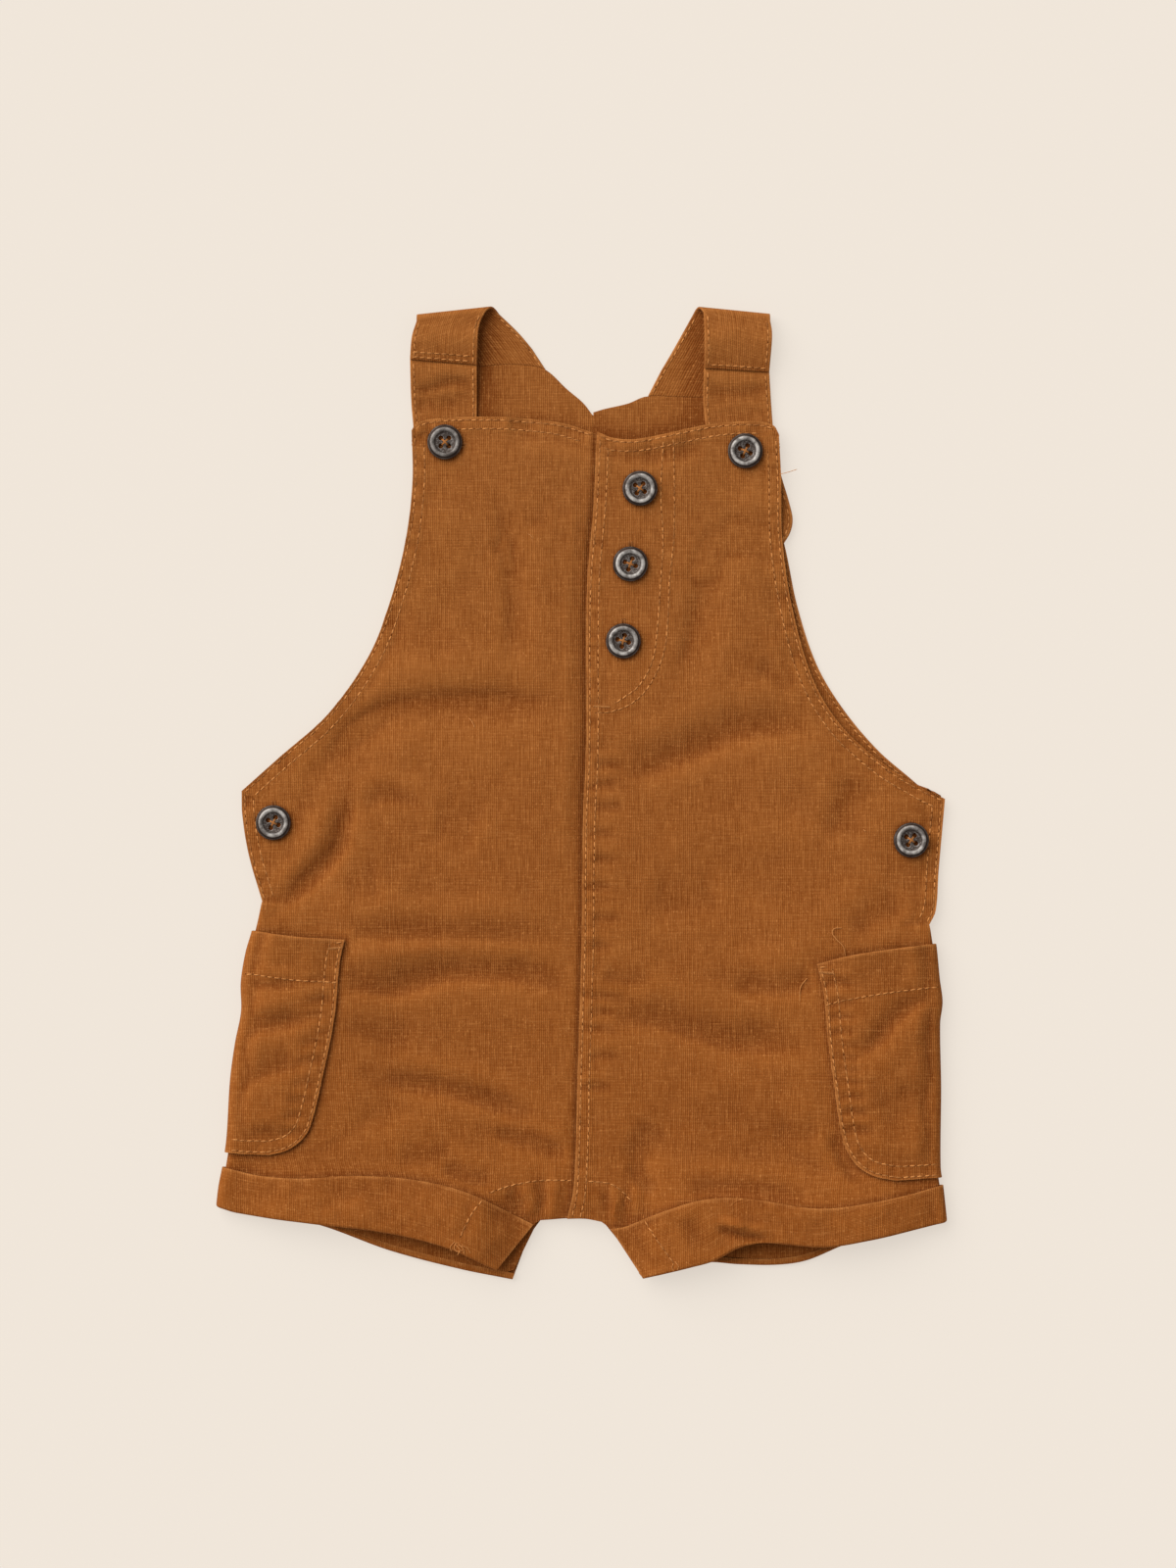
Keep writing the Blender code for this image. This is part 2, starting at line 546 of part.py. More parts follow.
def wrapped_row(half, face, plan, v, count, out=OVER, gap=SIDE_GAP, lift=None):
    """A row of what lies on the body, from the middle of its side fold inwards."""
    up = 1 if face == "front" else -1
    edge, far = plan(0, v), plan(1, v)
    width = abs(far[0] - edge[0])
    row = []
    for turn in SIDE_TURNS:
        y = plan(SIDE_ROUND * (1.0 - math.cos(turn)) / width, v)[1]
        x = edge[0] + half.side * ((SIDE_ROUND + out) * math.cos(turn) - SIDE_ROUND)
        inside = edge[0] - half.side * SIDE_ROUND
        reach = (SIDE_ROUND + out) * math.sin(turn) + gap * (1.0 - math.sin(turn))
        row.append((x, y, back_under(half, inside, y) + SIDE_ROUND + up * reach))
    for k in range(count + 1):
        x, y = plan((SIDE_ROUND + (width - SIDE_ROUND) * k / count) / width, v)
        extra = lift(x, y, v, k / count) if lift else 0.0
        body = on_front(half, x, y) if up > 0 else back_under(half, x, y)
        row.append((x, y, body + up * (out + extra)))
    return row


def pocket(half):
    """A patch pocket folded round the side, from its edge on the front to that on the back."""
    foot, mouth = half.pocket_foot, half.pocket_mouth
    edge = run([(row.x, row.y) for row in half.pocket_edge])
    outer = 0 if half.side < 0 else -1
    low, high = foot[outer].y, mouth[outer].y

    def side_line(v):
        y = low + v * (high - low)
        return (stretch(half.front_side, y), y)

    plan = patch(
        side_line, edge, level((foot,), side_line(0)[0], edge(0)[0]),
        level((mouth,), side_line(1)[0], edge(1)[0]),
    )

    def puff(x, y, v, u):
        inside = smooth(v * 6.0) * smooth((1.0 - u) * 3.0)
        folds = sum(fold_height(fold, x, y) for fold in POCKET_FOLDS)
        return max(inside * (POCKET_PUFF + folds), 0.0)

    inside = [y for y in row_heights(half) if low + 0.2 * ROW_STEP < y < high - 0.2 * ROW_STEP]
    levels = [low, (low + inside[0]) / 2, *inside, high]
    rows = []
    for v in [(y - low) / (high - low) for y in levels]:
        front = wrapped_row(half, "front", plan, v, POCKET_COLUMNS["front"], gap=0.0, lift=puff)
        back = wrapped_row(half, "back", plan, v, POCKET_COLUMNS["back"], gap=0.0)
        rows.append(front[::-1] + back[1:])
    return cloth(f"pocket_{half.name}", rows, flip=half.side < 0)


def cuff(half, face):
    """A turned-up cuff on one face of a leg, with the lip that closes its lower fold."""
    hem = half.hem_front if face == "front" else half.hem_back
    outer, inner = (0, -1) if half.side < 0 else (-1, 0)
    low, high = hem[outer].y, half.cuff_top[outer].y

    def side_line(v):
        y = low + v * (high - low)
        return (stretch(half.front_side, y), y)

    def inseam_line(v):
        return between((hem[inner].x, hem[inner].y), half.cuff_top[inner], v)

    plan = patch(
        side_line, inseam_line, level((hem,), side_line(0)[0], inseam_line(0)[0]),
        level((half.cuff_top,), side_line(1)[0], inseam_line(1)[0]),
    )
    rows = [wrapped_row(half, face, plan, 0, CUFF_COLUMNS, out=-CLOTH)]
    for v in (0, 0.12, 0.4, 0.7, 1):
        rows.append(wrapped_row(half, face, plan, v, CUFF_COLUMNS))
    return cloth(f"cuff_{half.name}_{face}", rows, flip=(face == "front") == (half.side > 0))


def strap_height(y):
    """Height of a strap's upper surface, which comes down from its fold to the bib."""
    top, under = SHOULDER_FRONT_LEFT[0].outer_y, NECK_LEFT[3].y + 4.0
    return STRAP_UNDER + STRAP_RISE * smooth((y - under) / (top - under))


STRAP_COLUMNS = 4


def strap_row(station, height):
    """Points across a strap at one station, at a height or one worked out from y."""
    row = []
    for k in range(STRAP_COLUMNS + 1):
        x, y = between(station[0:2], station[2:4], k / STRAP_COLUMNS)
        row.append((x, y, height(y)))
    return row


def refined(stations):
    """The stations with one more between each two, on the smooth line through them."""
    columns = [[(i, station[k]) for i, station in enumerate(stations)] for k in range(4)]
    steps = range(2 * len(stations) - 1)
    return [Station(*(through(column, i / 2) for column in columns)) for i in steps]


def shoulder(half):
    """The strap from its seam on the back, over the shoulder fold, to its seam on the front."""
    rows = [strap_row(station, lambda y: 0.0) for station in refined(half.shoulder_back)]
    rows[0] = [(x, through(half.yoke, x) + 2 * SEAM, z) for x, _, z in rows[0]]
    rows[1] = [between(a, b, 0.5) for a, b in zip(rows[0], rows[2])]
    below, above = rows[-1], strap_row(half.shoulder_front[0], strap_height)
    for k in range(1, FOLD_STEPS):
        turn = math.pi * k / FOLD_STEPS
        row = []
        for start, end in zip(below, above):
            x, y, _ = between(start, end, k / FOLD_STEPS)
            height = (end[2] - start[2]) * (1 - math.cos(turn)) / 2
            row.append((x, y + STRAP_FOLD * math.sin(turn), height))
        rows.append(row)
    rows += [strap_row(station, strap_height) for station in refined(half.shoulder_front)]
    return cloth(f"strap_{half.name}_shoulder", rows, flip=half.side < 0)


def strap_front(half):
    """The strap from its front seam down under the bib to its rounded end."""
    rows = [strap_row(station, strap_height) for station in refined(half.strap_front)]
    return cloth(f"strap_{half.name}_front", rows, flip=half.side < 0)


def cylinders(centres, radius, low, high):
    """Upright cylinders in one mesh, for cutting holes."""
    work = bmesh.new()
    for x, y in centres:
        made = bmesh.ops.create_cone(
            work, cap_ends=True, segments=HOLE_SIDES, radius1=radius, radius2=radius, depth=high - low
        )
        bmesh.ops.translate(work, verts=made["verts"], vec=(x, y, (low + high) / 2))
    bmesh.ops.scale(work, verts=work.verts, vec=(MILLIMETRE,) * 3)
    mesh = bpy.data.meshes.new("holes")
    work.to_mesh(mesh)
    work.free()
    return mesh


def button_mesh():
    """A turned button with a rounded rim and a dished face, without its holes."""
    work = bmesh.new()
    profile = [(0.0, 0.0), *BUTTON_PROFILE, (0.0, BUTTON_FACE)]
    verts = [work.verts.new((radius, 0.0, height)) for radius, height in profile]
    edges = [work.edges.new(pair) for pair in zip(verts, verts[1:])]
    bmesh.ops.spin(
        work, geom=verts + edges, cent=(0, 0, 0), axis=(0, 0, 1), angle=2 * math.pi,
        steps=BUTTON_SIDES, use_merge=True,
    )
    bmesh.ops.remove_doubles(work, verts=work.verts, dist=0.001)
    bmesh.ops.recalc_face_normals(work, faces=work.faces)
    bmesh.ops.scale(work, verts=work.verts, vec=(MILLIMETRE,) * 3)
    mesh = bpy.data.meshes.new("button")
    work.to_mesh(mesh)
    work.free()
    mesh.set_sharp_from_angle(angle=math.radians(50))
    return mesh


def place_button(button, mesh, holes):
    """A button lying on the front, with four holes through it."""
    ring = [(0.0, 0.0)] + [
        (BUTTON_RADIUS * reach * math.cos(turn), BUTTON_RADIUS * reach * math.sin(turn))
        for reach in (0.6, 1.0) for turn in (math.pi * k / 4 for k in range(8))
    ]
    seat = max(on_front(button.half, button.x + dx, button.y + dy) for dx, dy in ring)
    made = bpy.data.objects.new(button.name, mesh.copy())
    made.data.materials.append(material(GUNMETAL))
    made.data.shade_smooth()
    cutter = bpy.data.objects.new(f"{button.name}_holes", holes)
    cutter.hide_render = True
    cutter.display_type = "WIRE"
    cutter.parent = made
    for each in (made, cutter):
        bpy.context.scene.collection.objects.link(each)
    made.location = Vector((button.x, button.y, seat + SEAM)) * MILLIMETRE
    made.rotation_euler.z = math.radians(button.turn)
    cut = made.modifiers.new("holes", "BOOLEAN")
    cut.operation = "DIFFERENCE"
    cut.object = cutter


def main():
    for old in list(bpy.data.objects):
        bpy.data.objects.remove(old, do_unlink=True)
    for half in (LEFT, RIGHT):
        for face in ("front", "back"):
            body_panel(half, face)
            cuff(half, face)
        pocket(half)
        shoulder(half)
        strap_front(half)
    mesh = button_mesh()
    quarter = [math.pi / 4 + math.pi / 2 * k for k in range(4)]
    centres = [(HOLE_CIRCLE * math.cos(turn), HOLE_CIRCLE * math.sin(turn)) for turn in quarter]
    holes = cylinders(centres, HOLE_RADIUS, -1.0, 4.0)
    for button in BUTTONS:
        place_button(button, mesh, holes)


main()
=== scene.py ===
"""The dressed model of a baby's short bib overalls in plain woven cloth, laid flat on the back.

Each piece of cloth is a thin wall grown from its outer surface, laid on the same outlines and
heights as its solid. +X is the right of the garment as it lies, +Y runs up to the straps and +Z
away from the surface below. Sizes in the tables are millimetres, and the meshes are metres.
"""

from __future__ import annotations

import logging
import math
from collections.abc import Callable, Iterable, Sequence
from dataclasses import dataclass, field
from enum import Enum

import bmesh
import bpy
import numpy as np
from mathutils import Matrix, Vector
from mathutils.bvhtree import BVHTree


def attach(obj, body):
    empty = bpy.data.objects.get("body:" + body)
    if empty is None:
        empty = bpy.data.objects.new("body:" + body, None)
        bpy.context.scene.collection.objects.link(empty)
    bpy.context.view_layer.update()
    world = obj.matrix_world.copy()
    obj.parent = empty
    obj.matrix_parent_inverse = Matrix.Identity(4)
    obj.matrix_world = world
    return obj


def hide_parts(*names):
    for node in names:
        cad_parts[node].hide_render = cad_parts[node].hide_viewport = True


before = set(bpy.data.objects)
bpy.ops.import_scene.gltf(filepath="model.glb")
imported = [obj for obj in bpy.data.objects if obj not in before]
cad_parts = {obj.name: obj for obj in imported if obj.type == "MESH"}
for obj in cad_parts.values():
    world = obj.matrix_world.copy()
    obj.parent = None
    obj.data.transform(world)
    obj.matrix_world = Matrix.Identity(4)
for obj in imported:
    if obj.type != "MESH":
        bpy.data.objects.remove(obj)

LOG = logging.getLogger("overalls")
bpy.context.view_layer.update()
MM = 0.001

Array = np.ndarray
Pairs = tuple[tuple[float, float], ...]
Triple = tuple[float, float, float]
Station = tuple[float, float, float, float]

# ---- sizes of the solids, in millimetres ---------------------------------------------------
CLOTH = 1.2
SEAM = 0.3  # air between two layers that lie close together
OVER = CLOTH + SEAM
SIDE_ROUND = 2.2  # half the height of the folded sides
LIFT_MARGIN, LIFT_RAMP = 8.0, 24.0  # how far beside a pocket or a cuff the body rises onto it
# Air between front and back: in the body, along open edges and at the crotch.
AIR_BODY, AIR_FREE, AIR_CROTCH = 2 * (SIDE_ROUND - CLOTH), 0.8, 0.6
SETTLE = 14.0  # how far in from an open edge the front lies down on the back
PUFF, PUFF_REACH = 1.0, 40.0  # how much more the middle of the front stands up
# The mouths of the legs stand open between the side and the inside leg.
GAPE, GAPE_TOP, GAPE_RAMP = 3.8, -144.0, 28.0
GAPE_SIDE, GAPE_CROTCH, GAPE_INSEAM = 26.0, 8.0, 28.0
# The front lies down on the back along the inside leg and the crotch.
CROTCH_REACH, CROTCH_RAMP, CROTCH_TOP, CROTCH_RISE = 26.0, 20.0, -150.0, 22.0
# The upper front laps over the lower one at the centre.
FRONT_LAP, LAP_DIP, LAP_CLEAR, LAP_RAMP = 8.0, 0.7, 0.4, 48.0
HEM_TUCK = 2.8  # how far above the fold of its cuff a panel ends
STRAP_FOLD = 2.9  # how far the shoulder fold reaches past the strap's two leaves
STRAP_UNDER, STRAP_RISE, STRAP_TOP = 2.8, 3.0, 196.0  # a strap comes down under the bib
BIB_RAISED = 11.0  # over how far the bib comes down beside a strap

# ---- sizes of the dressed cloth, in millimetres ----------------------------------------------
WALL = 1.0  # thickness of the pieces on the upper side
UNDER_WALL = 0.9  # thickness of the pieces on the underside and of the shoulder straps
UNDERSIDE = 0.3  # room below the outer side of the back for its stitches
SIDE_SLIT = 0.12  # from the middle of a side seam to each of its two edges
SEAM_BITE = 0.03  # how far each half of the back reaches over the middle of their seam
EDGE_MARGIN = 7.0  # width of the strip of finer cells along a sewn edge
FINE = 0.7  # length of the finer cells
# Length of a panel's other rows, cells round its side and columns between its sewn edges.
FRONT_CELLS, BACK_CELLS = (1.5, 8, 78), (2.4, 6, 46)
FOLD_CELLS = 8  # cells of a pocket or a cuff round the side
FAR = 1000.0  # out of reach of anything that fades with the distance
CALM, CALM_RAMP = 9.0, 6.0  # how near the lap of the fronts their folds die away
VALLEY_EDGE, VALLEY_RAMP = 9.0, 8.0  # the dip of the lower front beside that lap
VALLEY_LEGS, VALLEY_BIB, VALLEY_WAIST = 0.35, 1.1, 40.0
VALLEY_FOOT, VALLEY_TOP, VALLEY_FADE = -170.0, 130.0, 30.0
FACING, FACING_RAMP, FACING_RISE = 5.6, 0.9, 0.24  # the folded edges, which stand a little higher
# Where the neckline of the lower front, and its stitching, go under the upper one.
NECK_STOP, NECK_SEWN = 7.0, 5.6
TURNED, TURNED_RAMP, TURNED_RISE = 2.2, 1.6, 0.2  # the turned edges of a strap
BUTTON_GAP = 0.15  # between a button and the highest cloth below it
# Where on the cloth the pieces with their own grain are cut, and how wide a strap is.
POCKET_GRAIN, CUFF_GRAIN, STRAP_GRAIN, STRAP_WIDTH = 300.0, 600.0, 900.0, 28.0

# Distances of twin stitch rows from their edge, and of the grooves that rows sink into.
EDGE_ROWS, CENTRE_ROWS, SUNK_ROWS = (1.3, 4.9), (1.4, 4.8), (1.2, 4.8)
BACK_ROWS, BACK_CENTRE_ROWS = (1.5, 5.0), (1.6, 4.8)
POCKET_ROWS, POCKET_HEM = (1.2, 5.6), 17.6
STRAP_ROW = 1.6

# Soft waves in the cloth: height, shift across, shift up and size.
RUMPLE = ((0.85, 0.0, 31.0, 37.0), (0.16, 9.0, 0.0, 14.0), (0.07, 0.0, 0.0, 4.6))
BACK_DENTS = ((0.5, 40.0, 0.0, 31.0), (0.25, 0.0, 7.0, 11.0))
POCKET_RUMPLE = ((0.35, 5.0, 3.0, 13.0), (0.16, 0.0, 0.0, 5.5))
CUFF_WAVES = ((0.42, 0.0, 0.0, 9.0), (0.16, 3.0, 0.0, 3.8))

# How the painted shade in a trough is found: rounds of evening out, depth of full shade, and its
# share.
TROUGH_SHADE_PASSES = ((26, 0.6, 0.7), (5, 0.2, 0.5))
POCKET_SHADE = 0.35  # painted shade: the right pocket is darker all over
# Painted shade on the cloth under and round each button: its strength, reach and ramp.
BUTTON_SHADE, BUTTON_SHADE_REACH, BUTTON_SHADE_RAMP = 3.0, 8.4, 2.4

# ---- outlines: rows of y, x for edges that go up, rows of x, y for edges that go across -------
CENTRE_FRONT: Pairs = (
    (-176.0, -6.0), (-161.0, -2.9), (-116.0, -1.4), (-60.0, 0.2), (-15.0, 0.7), (20.0, 2.1),
    (60.0, 2.1), (87.0, 2.6), (117.0, 5.1), (147.0, 6.4),
)
CENTRE_BACK: Pairs = ((-176.0, -4.0), (-60.0, 1.0), (60.0, 3.0), (154.0, 5.0))
SIDE_LEFT: Pairs = (
    (-170.0, -147.3), (-160.0, -146.2), (-150.0, -144.3), (-140.0, -142.9), (-117.0, -141.5),
    (-102.0, -139.5), (-89.0, -137.0), (-77.0, -137.1), (-65.0, -135.2), (-56.0, -132.6),
    (-44.0, -129.8),
)
VENT_LEFT: Pairs = ((-44.0, -129.8), (-25.0, -135.4), (-9.0, -138.0), (0.8, -138.3))
ARMHOLE_LEFT: Pairs = (
    (0.8, -138.3), (14.0, -123.5), (32.0, -103.2), (56.0, -86.4), (80.0, -77.2), (104.0, -71.2),
    (127.0, -68.6), (147.5, -69.0),
)
BACK_ARMHOLE_LEFT: Pairs = (
    (-44.0, -129.8), (-25.0, -132.0), (-2.0, -132.0), (14.0, -119.5), (32.0, -100.0),
    (56.0, -83.0), (80.0, -74.0), (104.0, -68.0), (140.0, -62.5), (172.3, -56.2),
)
SIDE_RIGHT: Pairs = (
    (-176.0, 147.7), (-160.0, 146.0), (-152.0, 144.9), (-120.0, 145.1), (-94.0, 144.7),
    (-85.0, 145.7), (-76.0, 144.6), (-62.0, 143.2), (-53.6, 141.7),
)
VENT_RIGHT: Pairs = ((-53.6, 141.7), (-48.0, 144.3), (-32.0, 145.6), (-2.4, 148.2))
ARMHOLE_RIGHT: Pairs = (
    (-2.4, 148.2), (2.4, 138.2), (11.0, 124.2), (27.0, 106.2), (47.0, 94.2), (77.0, 85.6),
    (104.0, 81.8), (130.0, 81.3), (146.0, 80.4),
)
BACK_ARMHOLE_RIGHT: Pairs = (
    (-53.6, 141.7), (-32.0, 143.0), (-4.0, 144.4), (3.8, 136.7), (17.0, 121.4), (34.0, 107.0),
    (52.0, 96.2), (76.0, 88.2), (100.0, 83.2), (130.0, 75.0), (161.0, 64.0),
)
NECK_LEFT: Pairs = (
    (-69.0, 147.5), (-67.4, 149.9), (-62.0, 151.9), (-42.0, 152.9), (-24.0, 152.4),
    (-8.0, 150.6), (6.0, 146.2), (14.4, 143.2),
)
NECK_RIGHT: Pairs = (
    (6.4, 147.0), (12.4, 144.5), (21.0, 143.8), (32.0, 145.6), (52.6, 149.9), (64.0, 151.0),
    (73.0, 150.9), (78.6, 149.2), (80.4, 146.0),
)
YOKE_LEFT: Pairs = (
    (-56.2, 172.6), (-42.0, 173.8), (-31.0, 174.6), (-22.0, 174.3), (-14.0, 172.2),
    (-6.0, 164.8), (1.0, 158.8), (4.8, 153.8),
)
YOKE_RIGHT: Pairs = (
    (5.2, 155.2), (9.0, 156.4), (19.2, 158.8), (26.4, 161.6), (40.0, 161.4), (64.0, 161.0),
)
HEM_FRONT_LEFT: Pairs = (
    (-147.3, -168.6), (-140.0, -170.8), (-109.0, -174.8), (-80.0, -178.4), (-54.0, -184.8),
    (-34.4, -194.0),
)
HEM_BACK_LEFT: Pairs = (
    (-147.3, -168.6), (-140.0, -170.8), (-109.0, -175.6), (-78.0, -186.6), (-50.0, -194.0),
    (-28.0, -198.4),
)
HEM_FRONT_RIGHT: Pairs = (
    (25.2, -197.2), (44.0, -192.4), (54.0, -189.6), (64.0, -184.4), (74.0, -182.4),
    (98.0, -184.2), (115.0, -181.8), (147.7, -174.8),
)
HEM_BACK_RIGHT: Pairs = (
    (25.2, -196.0), (40.0, -193.4), (52.0, -191.4), (64.0, -192.2), (80.0, -192.4),
    (92.0, -190.6), (110.0, -183.4), (147.7, -174.8),
)
CROTCH_LEFT: Pairs = ((-17.4, -176.8), (-6.4, -176.0), (3.0, -176.0))
CROTCH_RIGHT: Pairs = ((-6.4, -176.0), (2.0, -176.0), (9.2, -177.4))
CUFF_TOP_LEFT: Pairs = (
    (-146.5, -151.8), (-132.0, -155.2), (-114.0, -156.4), (-92.0, -155.3), (-70.0, -156.6),
    (-54.0, -159.6), (-42.0, -163.8), (-28.0, -171.2), (-19.4, -175.6),
)
CUFF_TOP_RIGHT: Pairs = (
    (12.0, -177.2), (18.0, -176.2), (27.0, -172.4), (34.0, -169.4), (46.0, -165.4),
    (59.0, -164.0), (74.0, -165.2), (92.0, -168.0), (106.0, -167.8), (134.0, -162.8),
    (146.8, -159.4),
)
POCKET_EDGE_LEFT: Pairs = (
    (-147.2, -126.6), (-145.3, -119.4), (-140.8, -113.3), (-135.0, -109.8), (-112.0, -104.2),
    (-91.0, -100.1), (-69.0, -98.0), (-59.6, -96.0),
)
POCKET_EDGE_RIGHT: Pairs = (
    (-157.4, 128.0), (-155.4, 118.6), (-150.8, 111.6), (-142.0, 106.6), (-118.0, 102.6),
    (-100.0, 100.2), (-83.0, 98.7), (-69.6, 95.9),
)
POCKET_MOUTH_LEFT: Pairs = ((-133.0, -56.0), (-116.4, -58.3), (-96.0, -59.6))
POCKET_MOUTH_RIGHT: Pairs = ((95.9, -69.6), (107.6, -66.4), (127.6, -63.2), (143.5, -61.4))
POCKET_FOOT_LEFT: Pairs = ((-143.5, -146.2), (-136.8, -146.9), (-126.6, -147.2))
POCKET_FOOT_RIGHT: Pairs = ((128.0, -157.4), (145.8, -156.4))
# Stations down a strap: outer x, outer y, inner x, inner y.
SHOULDER_BACK_LEFT: tuple[Station, ...] = (
    (-55.0, 172.8, -14.4, 172.9), (-57.4, 178.6, -18.0, 178.4), (-62.0, 186.4, -25.0, 187.0),
    (-67.0, 192.0, -33.4, 195.2),
)
SHOULDER_FRONT_LEFT: tuple[Station, ...] = (
    (-66.9, 191.9, -39.2, 195.3), (-68.8, 185.2, -41.6, 189.0), (-69.6, 176.2, -42.4, 174.0),
)
STRAP_FRONT_LEFT: tuple[Station, ...] = (
    (-69.6, 175.8, -42.4, 173.6), (-69.2, 160.0, -42.4, 160.0), (-68.2, 148.0, -42.4, 148.0),
    (-66.4, 128.0, -41.5, 128.0), (-65.4, 113.0, -41.4, 112.6), (-63.8, 107.4, -43.0, 107.0),
    (-60.0, 104.2, -47.0, 103.8),
)
SHOULDER_BACK_RIGHT: tuple[Station, ...] = (
    (62.8, 161.6, 27.2, 162.2), (66.0, 168.0, 30.4, 168.4), (71.0, 179.0, 37.0, 179.6),
    (77.0, 192.2, 45.6, 195.0),
)
SHOULDER_FRONT_RIGHT: tuple[Station, ...] = (
    (76.9, 192.2, 49.8, 195.2), (77.6, 185.6, 50.2, 185.6), (76.6, 171.2, 50.1, 172.7),
)
STRAP_FRONT_RIGHT: tuple[Station, ...] = (
    (76.6, 170.8, 50.1, 172.3), (77.4, 158.8, 49.8, 160.0), (78.4, 147.0, 50.8, 149.0),
    (80.6, 133.0, 52.6, 135.0), (84.6, 119.0, 56.0, 121.4), (86.2, 111.6, 57.8, 113.4),
    (85.2, 106.0, 60.4, 106.8), (82.4, 101.2, 64.4, 102.6),
)


class Face(Enum):
    """The two faces of the garment as it lies."""

    FRONT = "front"
    BACK = "back"


@dataclass(frozen=True)
class Half:
    """One half of the garment: its outlines, with feet given by rising x."""

    name: str
    side: int
    vent_foot: float
    seam_full: float
    front_side: tuple[Pairs, ...]
    back_side: tuple[Pairs, ...]
    neck: Pairs
    yoke: Pairs
    foot_front: tuple[Pairs, ...]
    foot_back: tuple[Pairs, ...]
    hem_front: Pairs
    hem_back: Pairs
    crotch: float
    cuff_top: Pairs
    pocket_edge: Pairs
    pocket_mouth: Pairs
    pocket_foot: Pairs
    shoulder_back: tuple[Station, ...]
    shoulder_front: tuple[Station, ...]
    strap_front: tuple[Station, ...]


LEFT = Half(
    "left", -1, -44.0, -53.0, (SIDE_LEFT, VENT_LEFT, ARMHOLE_LEFT), (SIDE_LEFT, BACK_ARMHOLE_LEFT),
    NECK_LEFT, YOKE_LEFT, (HEM_FRONT_LEFT, ((-34.4, -194.0), (-17.4, -176.8)), CROTCH_LEFT),
    (HEM_BACK_LEFT, ((-28.0, -198.4), (-17.4, -176.8)), CROTCH_LEFT), HEM_FRONT_LEFT,
    HEM_BACK_LEFT, -17.4, CUFF_TOP_LEFT, POCKET_EDGE_LEFT, POCKET_MOUTH_LEFT, POCKET_FOOT_LEFT,
    SHOULDER_BACK_LEFT, SHOULDER_FRONT_LEFT, STRAP_FRONT_LEFT,
)
RIGHT = Half(
    "right", 1, -53.6, -60.0, (SIDE_RIGHT, VENT_RIGHT, ARMHOLE_RIGHT),
    (SIDE_RIGHT, BACK_ARMHOLE_RIGHT), NECK_RIGHT, YOKE_RIGHT,
    (CROTCH_RIGHT, ((9.2, -177.4), (25.2, -197.2)), HEM_FRONT_RIGHT),
    (CROTCH_RIGHT, ((9.2, -177.4), (25.2, -196.0)), HEM_BACK_RIGHT), HEM_FRONT_RIGHT,
    HEM_BACK_RIGHT, 9.2, CUFF_TOP_RIGHT, POCKET_EDGE_RIGHT, POCKET_MOUTH_RIGHT,
    POCKET_FOOT_RIGHT, SHOULDER_BACK_RIGHT, SHOULDER_FRONT_RIGHT, STRAP_FRONT_RIGHT,
)


# ---- curves ------------------------------------------------------------------------------------
def smooth(t: Array | float) -> Array:
    """0 up to t = 0, 1 from t = 1, and an even S between."""
    t = np.clip(t, 0.0, 1.0)
    return t * t * (3.0 - 2.0 * t)


def bell(t: Array | float) -> Array:
    """1 at t = 0, falling away evenly on both sides."""
    return np.exp(-np.square(t))


def through(table: Sequence[Sequence[float]], at: Array | float) -> Array:
    """The smooth curve through a table's rows.

    Args:
        table: rows of where and what, with where rising.
        at: where it is asked for, held to the table's ends.

    Returns:
        The second value there.
    """
    where, what = np.array([row[:2] for row in table], float).T
    at = np.clip(at, where[0], where[-1])
    i = np.searchsorted(where[1:-1], at)
    rows = np.arange(len(where))
    low, high = np.maximum(rows - 1, 0), np.minimum(rows + 1, len(where) - 1)
    slope = (what[high] - what[low]) / (where[high] - where[low])
    span = where[i + 1] - where[i]
    t = (at - where[i]) / span
    bend = t * (1.0 - t) * span * ((1.0 - t) * slope[i] - t * slope[i + 1])
    return what[i] * (1.0 - smooth(t)) + what[i + 1] * smooth(t) + bend


def stretch(tables: Sequence[Pairs], at: Array | float) -> Array:
    """The value where several tables follow each other, with a corner between them."""
    value = through(tables[-1], at)
    for table in reversed(tables[:-1]):
        value = np.where(at <= table[-1][0], through(table, at), value)
    return value


def limits(table: Pairs) -> tuple[float, float]:
    """Where a table starts and where it ends."""
    return table[0][0], table[-1][0]


def steps(start: float, stop: float, step: float) -> Array:
    """Even places from start to stop, both among them, about a step apart."""
    return np.linspace(start, stop, max(round(abs(stop - start) / step), 1) + 1)


def graduated(marks: Sequence[float], sizes: Sequence[float]) -> Array:
    """Places from the first mark to the last, about a stretch's own size apart in each."""
    parts = [steps(*stretched) for stretched in zip(marks, marks[1:], sizes)]
    return np.concatenate([parts[0], *(part[1:] for part in parts[1:])])


@dataclass(frozen=True)
class Swell:
    """A soft ridge, groove or shade along a line: its height in the middle and its width."""

    height: float
    width: float

    def at(self, away: Array) -> Array:
        """What it adds at a distance from its middle."""
        return self.height * bell(away / self.width)


SUNK, POCKET_SUNK, HEM_SUNK = Swell(-0.15, 0.6), Swell(-0.14, 0.6), Swell(-0.16, 0.7)
RIPPLE, POCKET_RIPPLE = Swell(0.46, 2.9), Swell(0.3, 3.2)
MOUTH_EDGE, MOUTH_SLACK = Swell(0.2, 1.2), Swell(0.8, 6.0)
# Painted shade in the cloth's colour: round pockets and cuffs, beside the lap of the fronts, beside
# the straps and under the bib's edge.
COVER_SHADE, LAP_SHADE, STRAP_SHADE = Swell(2.1, 1.7), Swell(2.6, 1.2), Swell(2.3, 7.5)
BIB_SHADE, BIB_SHADE_MIDDLE = Swell(0.9, 2.2), Swell(1.8, 5.0)


